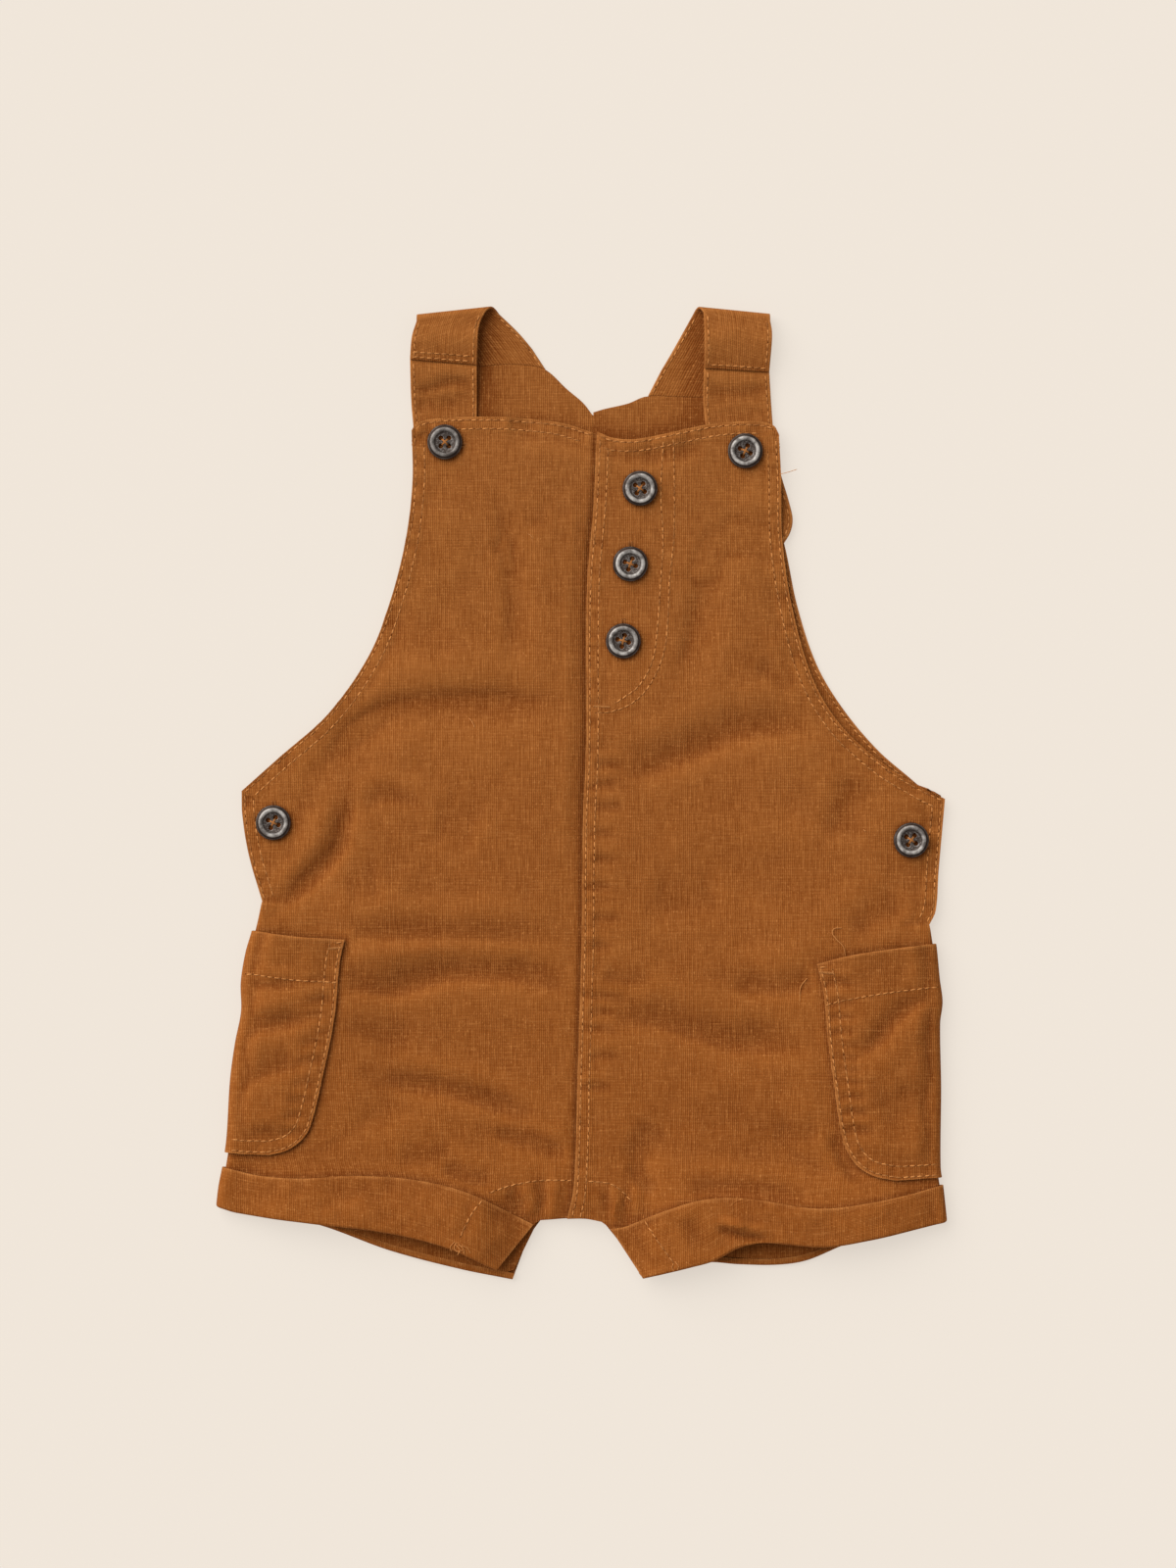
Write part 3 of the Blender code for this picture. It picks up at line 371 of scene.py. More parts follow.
@dataclass(frozen=True)
class Noise:
    """Seeded noise between even lattice points, for what is uneven in cloth."""

    seed: int = 11
    size: int = 128

    def at(self, x: Array, y: Array | float, scale: float = 1.0) -> Array:
        """Values from -1 to 1.

        Args:
            x: places across.
            y: places up, or one number for noise along a line.
            scale: the distance between lattice points.

        Returns:
            The noise at each place.
        """
        values = np.random.default_rng(self.seed).uniform(-1.0, 1.0, (self.size, self.size))
        x, y = np.broadcast_arrays(np.asarray(x, float) / scale, np.asarray(y, float) / scale)
        i, j = np.floor(x).astype(int), np.floor(y).astype(int)
        u, v = smooth(x - i), smooth(y - j)
        a = values[i % self.size, j % self.size]
        b = values[(i + 1) % self.size, j % self.size]
        c = values[i % self.size, (j + 1) % self.size]
        d = values[(i + 1) % self.size, (j + 1) % self.size]
        return (a * (1 - u) + b * u) * (1 - v) + (c * (1 - u) + d * u) * v


NOISE = Noise()


def waves(x: Array, y: Array | float, kinds: Sequence[Sequence[float]]) -> Array:
    """Several kinds of soft waves added up, each with its height, two shifts and its size."""
    return sum(high * NOISE.at(x + dx, y + dy, size) for high, dx, dy, size in kinds)


class Line:
    """A line on the plan as closely set points, with the distance along it."""

    def __init__(self, points: Array | Sequence[Sequence[float]]) -> None:
        """Args:
        points: rows of x, y along the line.
        """
        self.points = np.asarray(points, float)
        self.spans = np.maximum(np.hypot(*np.diff(self.points, axis=0).T), 1e-9)
        self.along = np.concatenate([[0.0], np.cumsum(self.spans)])
        self.length = float(self.along[-1])

    @classmethod
    def up(cls, tables: Sequence[Pairs], low: float, high: float, step: float = 2.0) -> Line:
        """An edge that goes up from one height to another, from its tables of y, x."""
        y = steps(low, high, step)
        return cls(np.stack([stretch(tables, y), y], 1))

    @classmethod
    def across(cls, tables: Sequence[Pairs], low: float, high: float, step: float = 2.0) -> Line:
        """An edge that goes across from one x to another, from its tables of x, y."""
        x = steps(low, high, step)
        return cls(np.stack([x, stretch(tables, x)], 1))

    @classmethod
    def bowed(cls, points: Sequence[Sequence[float]], step: float = 2.0) -> Line:
        """A smooth line through a few points."""
        chord = cls(points)
        t = steps(0.0, chord.length, step)
        tables = [list(zip(chord.along, chord.points[:, k])) for k in (0, 1)]
        return cls(np.stack([through(table, t) for table in tables], 1))

    def at(self, distance: Array | float) -> Array:
        """The points at these distances along the line."""
        return np.stack(
            [np.interp(distance, self.along, self.points[:, k]) for k in (0, 1)], -1
        )

    def part(self, start: float, stop: float) -> Line:
        """The line without its first start and its last stop millimetres."""
        return Line(self.at(steps(start, self.length - stop, 1.0)))

    def beside(self, distance: float) -> Line:
        """The line moved to its left by a distance, or to its right if that is below zero."""
        heading = np.gradient(self.points, self.along, axis=0)
        heading /= np.maximum(np.linalg.norm(heading, axis=1, keepdims=True), 1e-9)
        return Line(self.points + distance * np.stack([-heading[:, 1], heading[:, 0]], 1))

    def near(self, x: Array, y: Array) -> tuple[Array, Array]:
        """How far off the line places are.

        Args:
            x: places across.
            y: places up.

        Returns:
            The distance, above zero on the left, and how far along the nearest point is.
        """
        best = np.full(np.shape(x), np.inf)
        along, hand = np.zeros(best.shape), np.ones(best.shape)
        for a, b, start, span in zip(self.points, self.points[1:], self.along, self.spans):
            dx, dy = (b - a) / span
            px, py = x - a[0], y - a[1]
            t = np.clip(px * dx + py * dy, 0.0, span)
            away = (px - t * dx) ** 2 + (py - t * dy) ** 2
            closer = away < best
            best = np.where(closer, away, best)
            along = np.where(closer, start + t, along)
            hand = np.where(closer, np.where(dx * py - dy * px < 0, -1.0, 1.0), hand)
        return hand * np.sqrt(best), along


@dataclass(frozen=True)
class Fold:
    """A crease in the cloth along a bowed line: a trough where height is below zero.

    The roll is the height of the soft roll beside it, on the left, or on the right below zero.
    The gentle slope is on the left for a lean above zero, on the right below, on neither at zero.
    """

    points: Pairs
    width: float
    height: float
    roll: float = 0.0
    lean: float = 1.0
    reach: float = 7.0  # widths beyond which it adds nothing
    roll_away: float = 3.0  # widths from its line to the middle of the roll
    roll_width: float = 1.5
    left_over: float = 0.15  # share of its height at its two ends
    fading: float = 3.5  # one over the share of its length over which it fades

    def rise(self, x: Array, y: Array) -> Array:
        """What the fold adds to the height at places x, y."""
        added = np.zeros(np.shape(x))
        reach = self.reach * self.width
        low, high = np.min(self.points, 0) - reach, np.max(self.points, 0) + reach
        inside = (x > low[0]) & (x < high[0]) & (y > low[1]) & (y < high[1])
        if not inside.any():
            return added
        line = Line.bowed(self.points, 3.0)
        away, along = line.near(x[inside], y[inside])
        share = along / line.length
        ends = smooth(share * self.fading) * smooth((1.0 - share) * self.fading)
        roll = self.roll and abs(self.roll) * bell(
            (away - math.copysign(self.roll_away * self.width, self.roll))
            / (self.roll_width * self.width)
        )
        wide = self.width * np.where(away * self.lean > 0, 1.0 + abs(self.lean), 1.0)
        fade = self.left_over + (1.0 - self.left_over) * ends
        added[inside] = fade * (self.height * bell(away / wide) + roll)
        return added


def folded(folds: Sequence[Fold], x: Array, y: Array) -> Array:
    """What several folds add to the height at places x, y."""
    return sum(fold.rise(x, y) for fold in folds)


BODY_FOLDS = (
    Fold(((-112, 0), (-103, 12), (-90.4, 26.4), (-72, 36.0), (-40, 38.0), (-2, 36.0)),
         5.2, -2.6, 0.6, -1.2),
    Fold(((-93, 2), (-96, -13), (-98, -22), (-107, -33), (-125, -49)), 2.8, -2.5, -0.9, -1.2),
    Fold(((-108, -4), (-109, -15), (-117, -26)), 5.0, 0.8, 0.0, 0.0),
    Fold(((-90.4, -8.4), (-80, -1.6), (-64, -5.6)), 2.6, -0.7, 0.3),
    Fold(((-104, -56), (-61, -57.5), (-6, -60)), 3.8, -1.6, 0.5, 1.2),
    Fold(((-98, -66), (-80, -64.5), (-56, -65)), 4.6, 0.9, 0.0, 0.0),
    Fold(((-104, -75), (-90, -78.5), (-77, -80), (-62, -76), (-50, -73.5), (-24, -74.6), (0, -80)),
         4.0, -2.7, 0.8, 1.6),
    Fold(((-37, 127), (-31, 109), (-28, 80), (-28, 46)), 4.2, -1.3, 0.3, 0.6),
    Fold(((-33, 104), (-31.5, 96)), 4.0, -0.7, 0.0, 0.0),
    Fold(((-24, 109), (-12, 111)), 3.4, -0.6),
    Fold(((-84, -117), (-60, -120.5), (-40, -125.6), (-16, -136)), 3.0, -2.1, 0.7, 1.4),
    Fold(((-38, -137), (-27, -141), (-18.4, -143.2), (-2, -150)), 2.5, -1.9, 0.5, 1.0),
    Fold(((-76, -149), (-50, -145)), 4.4, -0.9, 0.3),
    Fold(((-98, -40), (-80, -38)), 8.0, -0.8, 0.3),
    Fold(((-62, -10), (-40, -17)), 9.0, -0.8, 0.3),
    Fold(((-98, -93), (-80, -99), (-66, -98)), 4.6, -0.9, 0.3),
    Fold(((-84, 66), (-66, 60), (-50, 62)), 8.0, -0.7, 0.4),
    Fold(((-62, 122), (-54, 104), (-52, 80)), 9.0, 0.6, 0.0, 0.0),
    Fold(((22, 134.0), (37, 137), (52, 141)), 3.2, -0.8, 0.2),
    Fold(((88, 97), (73, 101.6), (64, 102.8), (54, 107)), 5.6, -1.9, -0.5, -0.8),
    Fold(((60, 110), (51, 95.6), (48, 74.4), (39, 40)), 5.0, -1.5, 0.4, 0.6),
    Fold(((12, 6), (34, 12.5), (50, 19.0), (64, 25), (100, 28)), 4.8, -2.0, 0.6, 1.2),
    Fold(((70, 52), (78, 48), (86, 39)), 3.6, -1.0, 0.3),
    Fold(((86, 60), (93, 52), (100, 41)), 4.0, -0.7, 0.2),
    Fold(((112, 8), (107, -5), (103, -20)), 6.0, -1.3, 0.3),
    Fold(((24, -42), (40, -44.4), (60, -41)), 8.0, -1.1, 0.4),
    Fold(((8, -88), (34, -93.6), (48, -97.6), (62, -101.5), (96, -102)), 4.6, -2.2, 0.7, 1.3),
    Fold(((60, -77), (80, -79.5), (100, -76)), 4.0, -1.5, 0.4, 1.0),
    Fold(((5, -74), (18, -76.5), (30, -76)), 3.2, -0.9, 0.2),
    Fold(((76, -139), (99, -139)), 4.0, -1.0, 0.3),
    Fold(((60, -18), (84, -16), (100, -22)), 9.0, 0.6, 0.0, 0.0),
    Fold(((108, -58), (118, -52), (133, -44)), 4.4, -1.2, 0.4),
    Fold(((38, -124), (60, -118), (84, -120)), 9.0, 0.6, 0.0, 0.0),
    Fold(((30, -132), (24, -142), (22, -152)), 5.0, -1.1, 0.3),
)
# Folds that run on close to the cuffs.
CUFF_SHADOWS = (
    Fold(((-58, -151), (-45, -157), (-34, -158.5)), 2.8, -1.5, 0.4),
    Fold(((-19, -156), (-15.6, -162), (-16, -170), (-17.4, -175)), 1.9, -1.0, 0.5, 0.5),
    Fold(((-30, -161), (-26, -166), (-23, -171)), 2.0, -0.8, 0.3, 0.5),
    Fold(((-11.0, -157), (-11.6, -166), (-12.8, -175)), 2.1, 1.3, 0.0, -0.6),
    Fold(((-24, -159), (-21.4, -166), (-20.6, -173)), 2.1, 1.2, 0.0, 0.6),
    Fold(((13.6, -158), (14.6, -167), (11.4, -176)), 2.0, 1.3, 0.0, 0.6),
    Fold(((21.5, -158), (22.4, -164), (19.0, -171)), 1.9, 1.1, 0.0, 0.6),
    Fold(((9.8, -162), (10.2, -169), (7.8, -176)), 1.5, -1.0, 0.4, 0.4),
    Fold(((17, -161), (18, -167), (14, -173)), 1.8, -0.8, 0.3, 0.5),
    Fold(((20, -149), (24.5, -158), (31, -164)), 3.0, -1.4, 0.3),
    Fold(((36, -162.5), (52, -161.0), (72, -162.5), (98, -165)), 3.0, -1.4, 0.4),
    Fold(((103, -137), (107, -149), (113, -159)), 3.2, -1.4, 0.3),
)
# The roll of the bib's edge beside the placket.
BIB_CURL = Fold(((4.0, 145.6), (13.0, 143.0), (24.0, 142.8), (44.0, 146.0)), 3.6, 1.3, 0.0, 0.0)
# Short puckers beside the centre front seam: the height where each lies and how long it is.
CENTRE_PUCKERS = (
    (10.5, 9.0), (2.4, 7.5), (-6.8, 10.0), (-17.5, 7.0), (-28.0, 8.5), (-39.2, 7.0), (-52.0, 9.5),
    (-63.5, 7.0), (-84.0, 11.0), (-90.5, 8.0), (-97.0, 9.0), (-108.0, 10.0), (-120.5, 8.0),
)
POCKET_FOLDS = (
    Fold(((-146, -101), (-134, -96.0), (-121, -94.0), (-108, -91.0)), 2.8, -2.0, 0.8, 1.0),
    Fold(((-140, -77.8), (-125, -78.2), (-112, -77.8)), 1.8, -1.1, 0.4, 0.5),
    Fold(((-146, -122), (-128, -113), (-110, -110)), 3.6, -1.3, 0.4),
    Fold(((-146, -137), (-132, -141), (-120, -139)), 3.4, -0.8, 0.3),
    Fold(((-140, -87), (-118, -86)), 4.0, 0.5, 0.0, 0.0),
    Fold(((147, -81), (137, -84.5), (128, -91.2), (120, -100.6), (108, -107)),
         3.0, -2.0, 0.7, -1.0),
    Fold(((150, -128), (134, -124), (114, -129)), 6.0, -0.9, 0.3),
    Fold(((146, -108), (132, -114), (120, -122)), 7.0, 0.6, 0.0, 0.0),
)
# Heights of the short puckers along the stitched edge of each pocket.
POCKET_PUCKERS: dict[str, tuple[float, ...]] = {
    "left": (-76.0, -84.5, -90.0, -101.5, -109.0, -118.0, -124.5, -131.0, -138.5),
    "right": (-78.0, -86.5, -92.0, -98.0, -103.5, -108.5, -113.5, -118.5, -124.5, -130.5, -138.0),
}


@dataclass(frozen=True)
class Lay:
    """How one half of the garment lies: the height of each layer over the surface below."""

    half: Half

    def from_side(self, x: Array, y: Array) -> Array:
        """How far inside the front's side edge places are."""
        return self.half.side * (stretch(self.half.front_side, y) - x)

    def closed(self, y: Array) -> Array:
        """1 where front and back are joined at the side, 0 along the open edges."""
        return smooth((self.half.vent_foot - y) / (self.half.vent_foot - self.half.seam_full))

    def beneath_covers(self, x: Array, y: Array) -> Array:
        """How far inside the outline of a pocket or a cuff places are, below zero outside."""
        mouth = through(self.half.pocket_mouth, x)
        inner = self.half.side * (x - through(self.half.pocket_edge, y))
        pocket = np.minimum(np.minimum(inner, mouth - y), y - self.half.pocket_edge[0][0])
        return np.maximum(pocket, through(self.half.cuff_top, x) - y)

    def back_under(self, x: Array, y: Array) -> Array:
        """Height of the back over the surface, or over a pocket or a cuff."""
        return OVER * smooth((self.beneath_covers(x, y) + LIFT_MARGIN + LIFT_RAMP) / LIFT_RAMP)

    def over_strap(self, x: Array, y: Array) -> Array:
        """1 where the bib lies over the end of a strap or close beside it."""
        strap = self.half.strap_front
        low, high = sorted((strap[2][0], strap[2][2]))
        inside = np.minimum(np.minimum(x - low, high - x), y - strap[-1][1])
        return smooth((inside + 2 * BIB_RAISED) / BIB_RAISED)

    def strap_shade(self, x: Array, y: Array) -> Array:
        """The painted shade beside the strap, on the inside of the back."""
        rows = (*self.half.strap_front, *self.half.shoulder_front)
        inner = sorted((row[3], row[2]) for row in rows)
        away = self.half.side * (through(inner, y) - x)
        return np.where(away > 0, STRAP_SHADE.at(away) * smooth((y - 140.0) / 8.0), 0.0)

    def settled(self, x: Array, y: Array) -> Array:
        """1 at the neckline, an armhole or a side vent, 0 further in."""
        side = self.from_side(x, y) + FAR * self.closed(y)
        edge = np.minimum(through(self.half.neck, x) - y, side)
        return (1.0 - smooth(edge / SETTLE)) * (1.0 - self.over_strap(x, y))

    def leg_gape(self, x: Array, y: Array) -> Array:
        """How much more the mouth of a leg stands open than the body."""
        outer = smooth((self.from_side(x, y) - SIDE_ROUND) / GAPE_SIDE)
        inner = smooth((self.half.side * (x - self.half.crotch) - GAPE_CROTCH) / GAPE_INSEAM)
        return GAPE * outer * inner * smooth((GAPE_TOP - y) / GAPE_RAMP)

    def at_crotch(self, x: Array, y: Array) -> Array:
        """1 along the inside leg and the crotch, where the front lies down on the back."""
        away = np.maximum(self.half.side * (x - self.half.crotch), 0.0)
        return smooth((CROTCH_REACH - away) / CROTCH_RAMP) * smooth((CROTCH_TOP - y) / CROTCH_RISE)

    def edges(self) -> list[Line]:
        """The front's sewn open edges."""
        half, (first, last) = self.half, limits(self.half.neck)
        neck = Line.across((half.neck,), first, NECK_STOP if half.side < 0 else last)
        found = [neck, Line.up(half.front_side, half.vent_foot, half.front_side[-1][-1][0])]
        if half.side > 0:
            found.append(Line.up((CENTRE_FRONT,), -176.0, 146.5))
        return found

    def relief(self, x: Array, y: Array) -> Array:
        """The small unevenness of the front: its facings, stitch lines, puckers and rumple."""
        from_fold = smooth((self.from_side(x, y) - SIDE_ROUND) / 8.0)
        total = waves(x, y, RUMPLE) * (1.0 - 0.5 * self.settled(x, y))
        for number, line in enumerate(self.edges(), 1):
            away, along = line.near(x, y)
            away = np.abs(away)
            total = total + FACING_RISE * (1.0 - smooth((away - FACING) / FACING_RAMP))
            for row in SUNK_ROWS:
                total = total + SUNK.at(away - row)
            ripple = NOISE.at(along, 17.3 * number, 2.7) + 0.6 * NOISE.at(along, 5.1, 6.0)
            total = total + ripple * RIPPLE.at(away - sum(SUNK_ROWS) / 2)
        if self.half.side > 0:
            for start, long in CENTRE_PUCKERS:
                edge = float(through(CENTRE_FRONT, start))
                line = ((edge + 2.0, start), (edge + long, start + 0.8), (edge + 1.8 * long, start))
                total = total + Fold(line, 1.5, -0.62, 0.3, 0.4).rise(x, y)
            total = total + BIB_CURL.rise(x, y)
        return total * (1.0 - self.closed(y) * (1.0 - from_fold))

    def valley(self, from_lap: Array, y: Array) -> Array:
        """How far the lower front dips beside the lap of the upper one."""
        deep = VALLEY_LEGS + VALLEY_BIB * smooth((y + VALLEY_WAIST) / VALLEY_WAIST)
        ends = smooth((VALLEY_TOP - y) / VALLEY_FADE) * smooth((y - VALLEY_FOOT) / VALLEY_FADE)
        return smooth((from_lap + VALLEY_EDGE) / VALLEY_RAMP) * deep * ends

    def front_over(self, x: Array, y: Array) -> Array:
        """Height of the front's outer surface.

        Args:
            x: places across.
            y: places up.

        Returns:
            The height at each place, over the surface that the garment lies on.
        """
        open_edge, crotch = self.settled(x, y), self.at_crotch(x, y)
        air = AIR_BODY - (AIR_BODY - AIR_FREE) * open_edge - (AIR_BODY - AIR_CROTCH) * crotch
        full = PUFF * smooth((self.from_side(x, y) - SIDE_ROUND) / PUFF_REACH)
        full = full * (1.0 - open_edge) * (1.0 - crotch)
        dip = LAP_DIP * (1.0 - crotch)
        from_lap = x - through(CENTRE_FRONT, y)
        if self.half.side < 0:
            lap = -dip * smooth((from_lap + 3.0) / 3.0) - self.valley(from_lap, y)
            calm = smooth(-from_lap / CALM)
        else:
            past = from_lap - FRONT_LAP
            lap = (OVER + LAP_CLEAR - dip) * (1.0 - smooth((past - 2.0) / LAP_RAMP))
            calm = smooth((past + 1.0) / CALM_RAMP)
        outside = -self.beneath_covers(x, y)
        folds = calm * smooth((outside - 1.0) / 5.0) * folded(BODY_FOLDS, x, y)
        folds = folds + smooth(outside / 2.5) * folded(CUFF_SHADOWS, x, y)
        folds = folds + self.relief(x, y)
        room = air + full - SEAM - (AIR_BODY - SEAM) * self.over_strap(x, y)
        height = 2 * CLOTH + air + full + self.leg_gape(x, y)
        return self.back_under(x, y) + height + lap + np.maximum(folds, -np.maximum(room, 0.0))

    def back_outer(self, x: Array, y: Array) -> Array:
        """Height of the back's outer side, with soft dents that only rise from the surface."""
        dents = np.maximum(waves(x, y, BACK_DENTS), 0.0)
        clear = 1.0 - self.closed(y) * (1.0 - smooth((self.from_side(x, y) - 6.0) / 10.0))
        clear = clear * (1.0 - self.at_crotch(x, y)) * smooth((160.0 - y) / 20.0)
        covers = smooth((-self.beneath_covers(x, y) - 2.0) / 10.0)
        return UNDERSIDE + self.back_under(x, y) + dents * clear * covers * (1 - self.settled(x, y))


Plan = Callable[[Array, Array], tuple[Array, Array]]


def level(tables: Sequence[Pairs], start: float, end: float, shift: float = 0.0) -> Callable:
    """An edge that crosses from one x to another, as a function of 0 to 1."""

    def edge(u: Array) -> tuple[Array, Array]:
        """The place on the edge."""
        x = start + u * (end - start)
        return x, stretch(tables, x) + shift

    return edge


def upright(tables: Sequence[Pairs], low: float, high: float, shift: float = 0.0) -> Callable:
    """An edge that goes up from one y to another, as a function of 0 to 1."""

    def edge(v: Array) -> tuple[Array, Array]:
        """The place on the edge."""
        y = low + v * (high - low)
        return stretch(tables, y) + shift, y

    return edge


def patch(
    side: Callable, centre: Callable, foot: Sequence[Pairs], top: Sequence[Pairs],
    tuck: float = 0.0,
) -> Plan:
    """The plan of a piece between its four edges.

    Args:
        side: gives x, y of the outer edge at 0 to 1 up it.
        centre: gives x, y of the inner edge at 0 to 1 up it.
        foot: the tables of the lower edge.
        top: the tables of the upper edge.
        tuck: how far the lower edge lies above its tables.

    Returns:
        A function of the share inwards and the share up that gives x, y.
    """
    lower = level(foot, float(side(0.0)[0]), float(centre(0.0)[0]), tuck)
    upper = level(top, float(side(1.0)[0]), float(centre(1.0)[0]))

    def plan(u: Array, v: Array) -> tuple[Array, Array]:
        """The place at a share inwards and a share up."""
        result = []
        for k in (0, 1):
            edges = lower(u)[k] * (1 - v) + upper(u)[k] * v
            ends = side(v)[k] * (1 - u) + centre(v)[k] * u
            below = side(0.0)[k] * (1 - u) + centre(0.0)[k] * u
            above = side(1.0)[k] * (1 - u) + centre(1.0)[k] * u
            result.append(edges + ends - (below * (1 - v) + above * v))
        return result[0], result[1]

    return plan


def graded(width: Array, near: bool, far: bool, count: int) -> Array:
    """Distances over a width, closer together along its sewn edges.

    Args:
        width: the width of each row.
        near: whether the start has a strip of fine cells.
        far: whether the end has one.
        count: how many cells lie between the strips.

    Returns:
        A row of distances for each width, from 0 to the width.
    """
    width = np.asarray(width, float).reshape(-1, 1)
    strip = steps(0.0, EDGE_MARGIN, FINE)[None, :]
    start, stop = EDGE_MARGIN * near, width - EDGE_MARGIN * far
    middle = start + (stop - start) * np.linspace(0.0, 1.0, count + 1)[None, :]
    parts = [strip[:, :-1] + 0 * width] if near else []
    parts.append(middle)
    if far:
        parts.append(width - EDGE_MARGIN + strip[:, 1:])
    return np.concatenate(parts, axis=1)


# ---- finishes ------------------------------------------------------------------------------------
class Signal:
    """A number that varies over a surface: an expression on signals adds its Math nodes."""

    def __init__(self, shader: Shader, socket: bpy.types.NodeSocket) -> None:
        """Args:
        shader: the material that it belongs to.
        socket: the output that carries it.
        """
        self.shader, self.socket = shader, socket

    def math(self, operation: str, *others: Signal | float, swap: bool = False) -> Signal:
        """The result of a Math node on this signal and others."""
        values = [self, *others]
        if swap:
            values.reverse()
        return self.shader.add("ShaderNodeMath", {"operation": operation}, values)

    def __add__(self, other: Signal | float) -> Signal:
        """This plus another."""
        return self.math("ADD", other)

    def __sub__(self, other: Signal | float) -> Signal:
        """This less another."""
        return self.math("SUBTRACT", other)

    def __rsub__(self, other: float) -> Signal:
        """A number less this."""
        return self.math("SUBTRACT", other, swap=True)

    def __mul__(self, other: Signal | float) -> Signal:
        """This times another."""
        return self.math("MULTIPLY", other)

    __radd__, __rmul__ = __add__, __mul__

    def sine(self) -> Signal:
        """Its sine."""
        return self.math("SINE")

    def power(self, exponent: float) -> Signal:
        """This to a power."""
        return self.math("POWER", exponent)

    def over(self, low: float, high: float) -> Signal:
        """0 where this is at low, 1 where it is at high, held between."""
        settings = {"clamp": True}
        return self.shader.add("ShaderNodeMapRange", settings, {0: self, 1: low, 2: high})


class Shader:
    """A material in the making: its node tree and what is added to it."""

    def __init__(self, name: str) -> None:
        """Args:
        name: the material's name.
        """
        self.material = bpy.data.materials.new(name)
        self.material.use_nodes = True
        self.tree = self.material.node_tree
        self.surface = self.tree.nodes["Principled BSDF"]

    def add(
        self, kind: str, settings: dict, sockets: Iterable | dict, output: int | str = 0
    ) -> Signal:
        """Adds a node.

        Args:
            kind: the node's type.
            settings: its properties, set first.
            sockets: values or links for its inputs, in order or by number or name.
            output: which output is wanted.

        Returns:
            That output as a signal.
        """
        node = self.tree.nodes.new(kind)
        for key, value in settings.items():
            setattr(node, key, value)
        pairs = sockets.items() if isinstance(sockets, dict) else enumerate(sockets)
        for key, value in pairs:
            self.feed(node.inputs[key], value)
        return Signal(self, node.outputs[output])

    def feed(self, socket: bpy.types.NodeSocket, value: Signal | float | Sequence[float]) -> None:
        """Links a signal to a socket, or sets the socket to a value."""
        if isinstance(value, Signal):
            self.tree.links.new(value.socket, socket)
        elif hasattr(value, "__len__") and socket.type == "RGBA":
            socket.default_value = (*value[:3], 1.0)
        else:
            socket.default_value = value

    def attribute(self, name: str) -> Signal:
        """A number stored on the piece's points."""
        return self.add("ShaderNodeAttribute", {"attribute_name": name}, (), "Fac")

    def place(self) -> Signal:
        """Where a point of the piece is, in metres."""
        return self.add("ShaderNodeTexCoord", {}, (), "Object")

    def split(self, place: Signal) -> tuple[Signal, Signal]:
        """The first two numbers of a place."""
        first = self.add("ShaderNodeSeparateXYZ", {}, (place,))
        return first, Signal(self, first.socket.node.outputs[1])

    def noise(self, place: Signal, stretched: Triple, detail: float = 2.0) -> Signal:
        """Noise on a place, with so many features per metre each way, from 0 to 1."""
        place = self.add("ShaderNodeVectorMath", {"operation": "MULTIPLY"}, (place, stretched))
        sockets = {"Vector": place, "Scale": 1.0, "Detail": detail}
        return self.add("ShaderNodeTexNoise", {"noise_dimensions": "3D"}, sockets)

    def blend(self, share: Signal | float, first: object, second: object) -> Signal:
        """A colour between two others, or one that is a signal already."""
        settings = {"data_type": "RGBA", "clamp_factor": True}
        sockets = {0: share, 6: first, 7: second}
        return self.add("ShaderNodeMix", settings, sockets, 2)

    def bump(self, height: Signal, distance: float, strength: float = 1.0) -> Signal:
        """A normal from a height, whose full range stands a distance proud, in metres."""
        sockets = {"Strength": strength, "Distance": distance, "Height": height}
        return self.add("ShaderNodeBump", {}, sockets, "Normal")

    def set(self, **sockets: Signal | float | Sequence[float]) -> bpy.types.Material:
        """Sets the surface's sockets, with _ for a space in a name, and gives the material."""
        for name, value in sockets.items():
            self.feed(self.surface.inputs[name.replace("_", " ")], value)
        return self.material


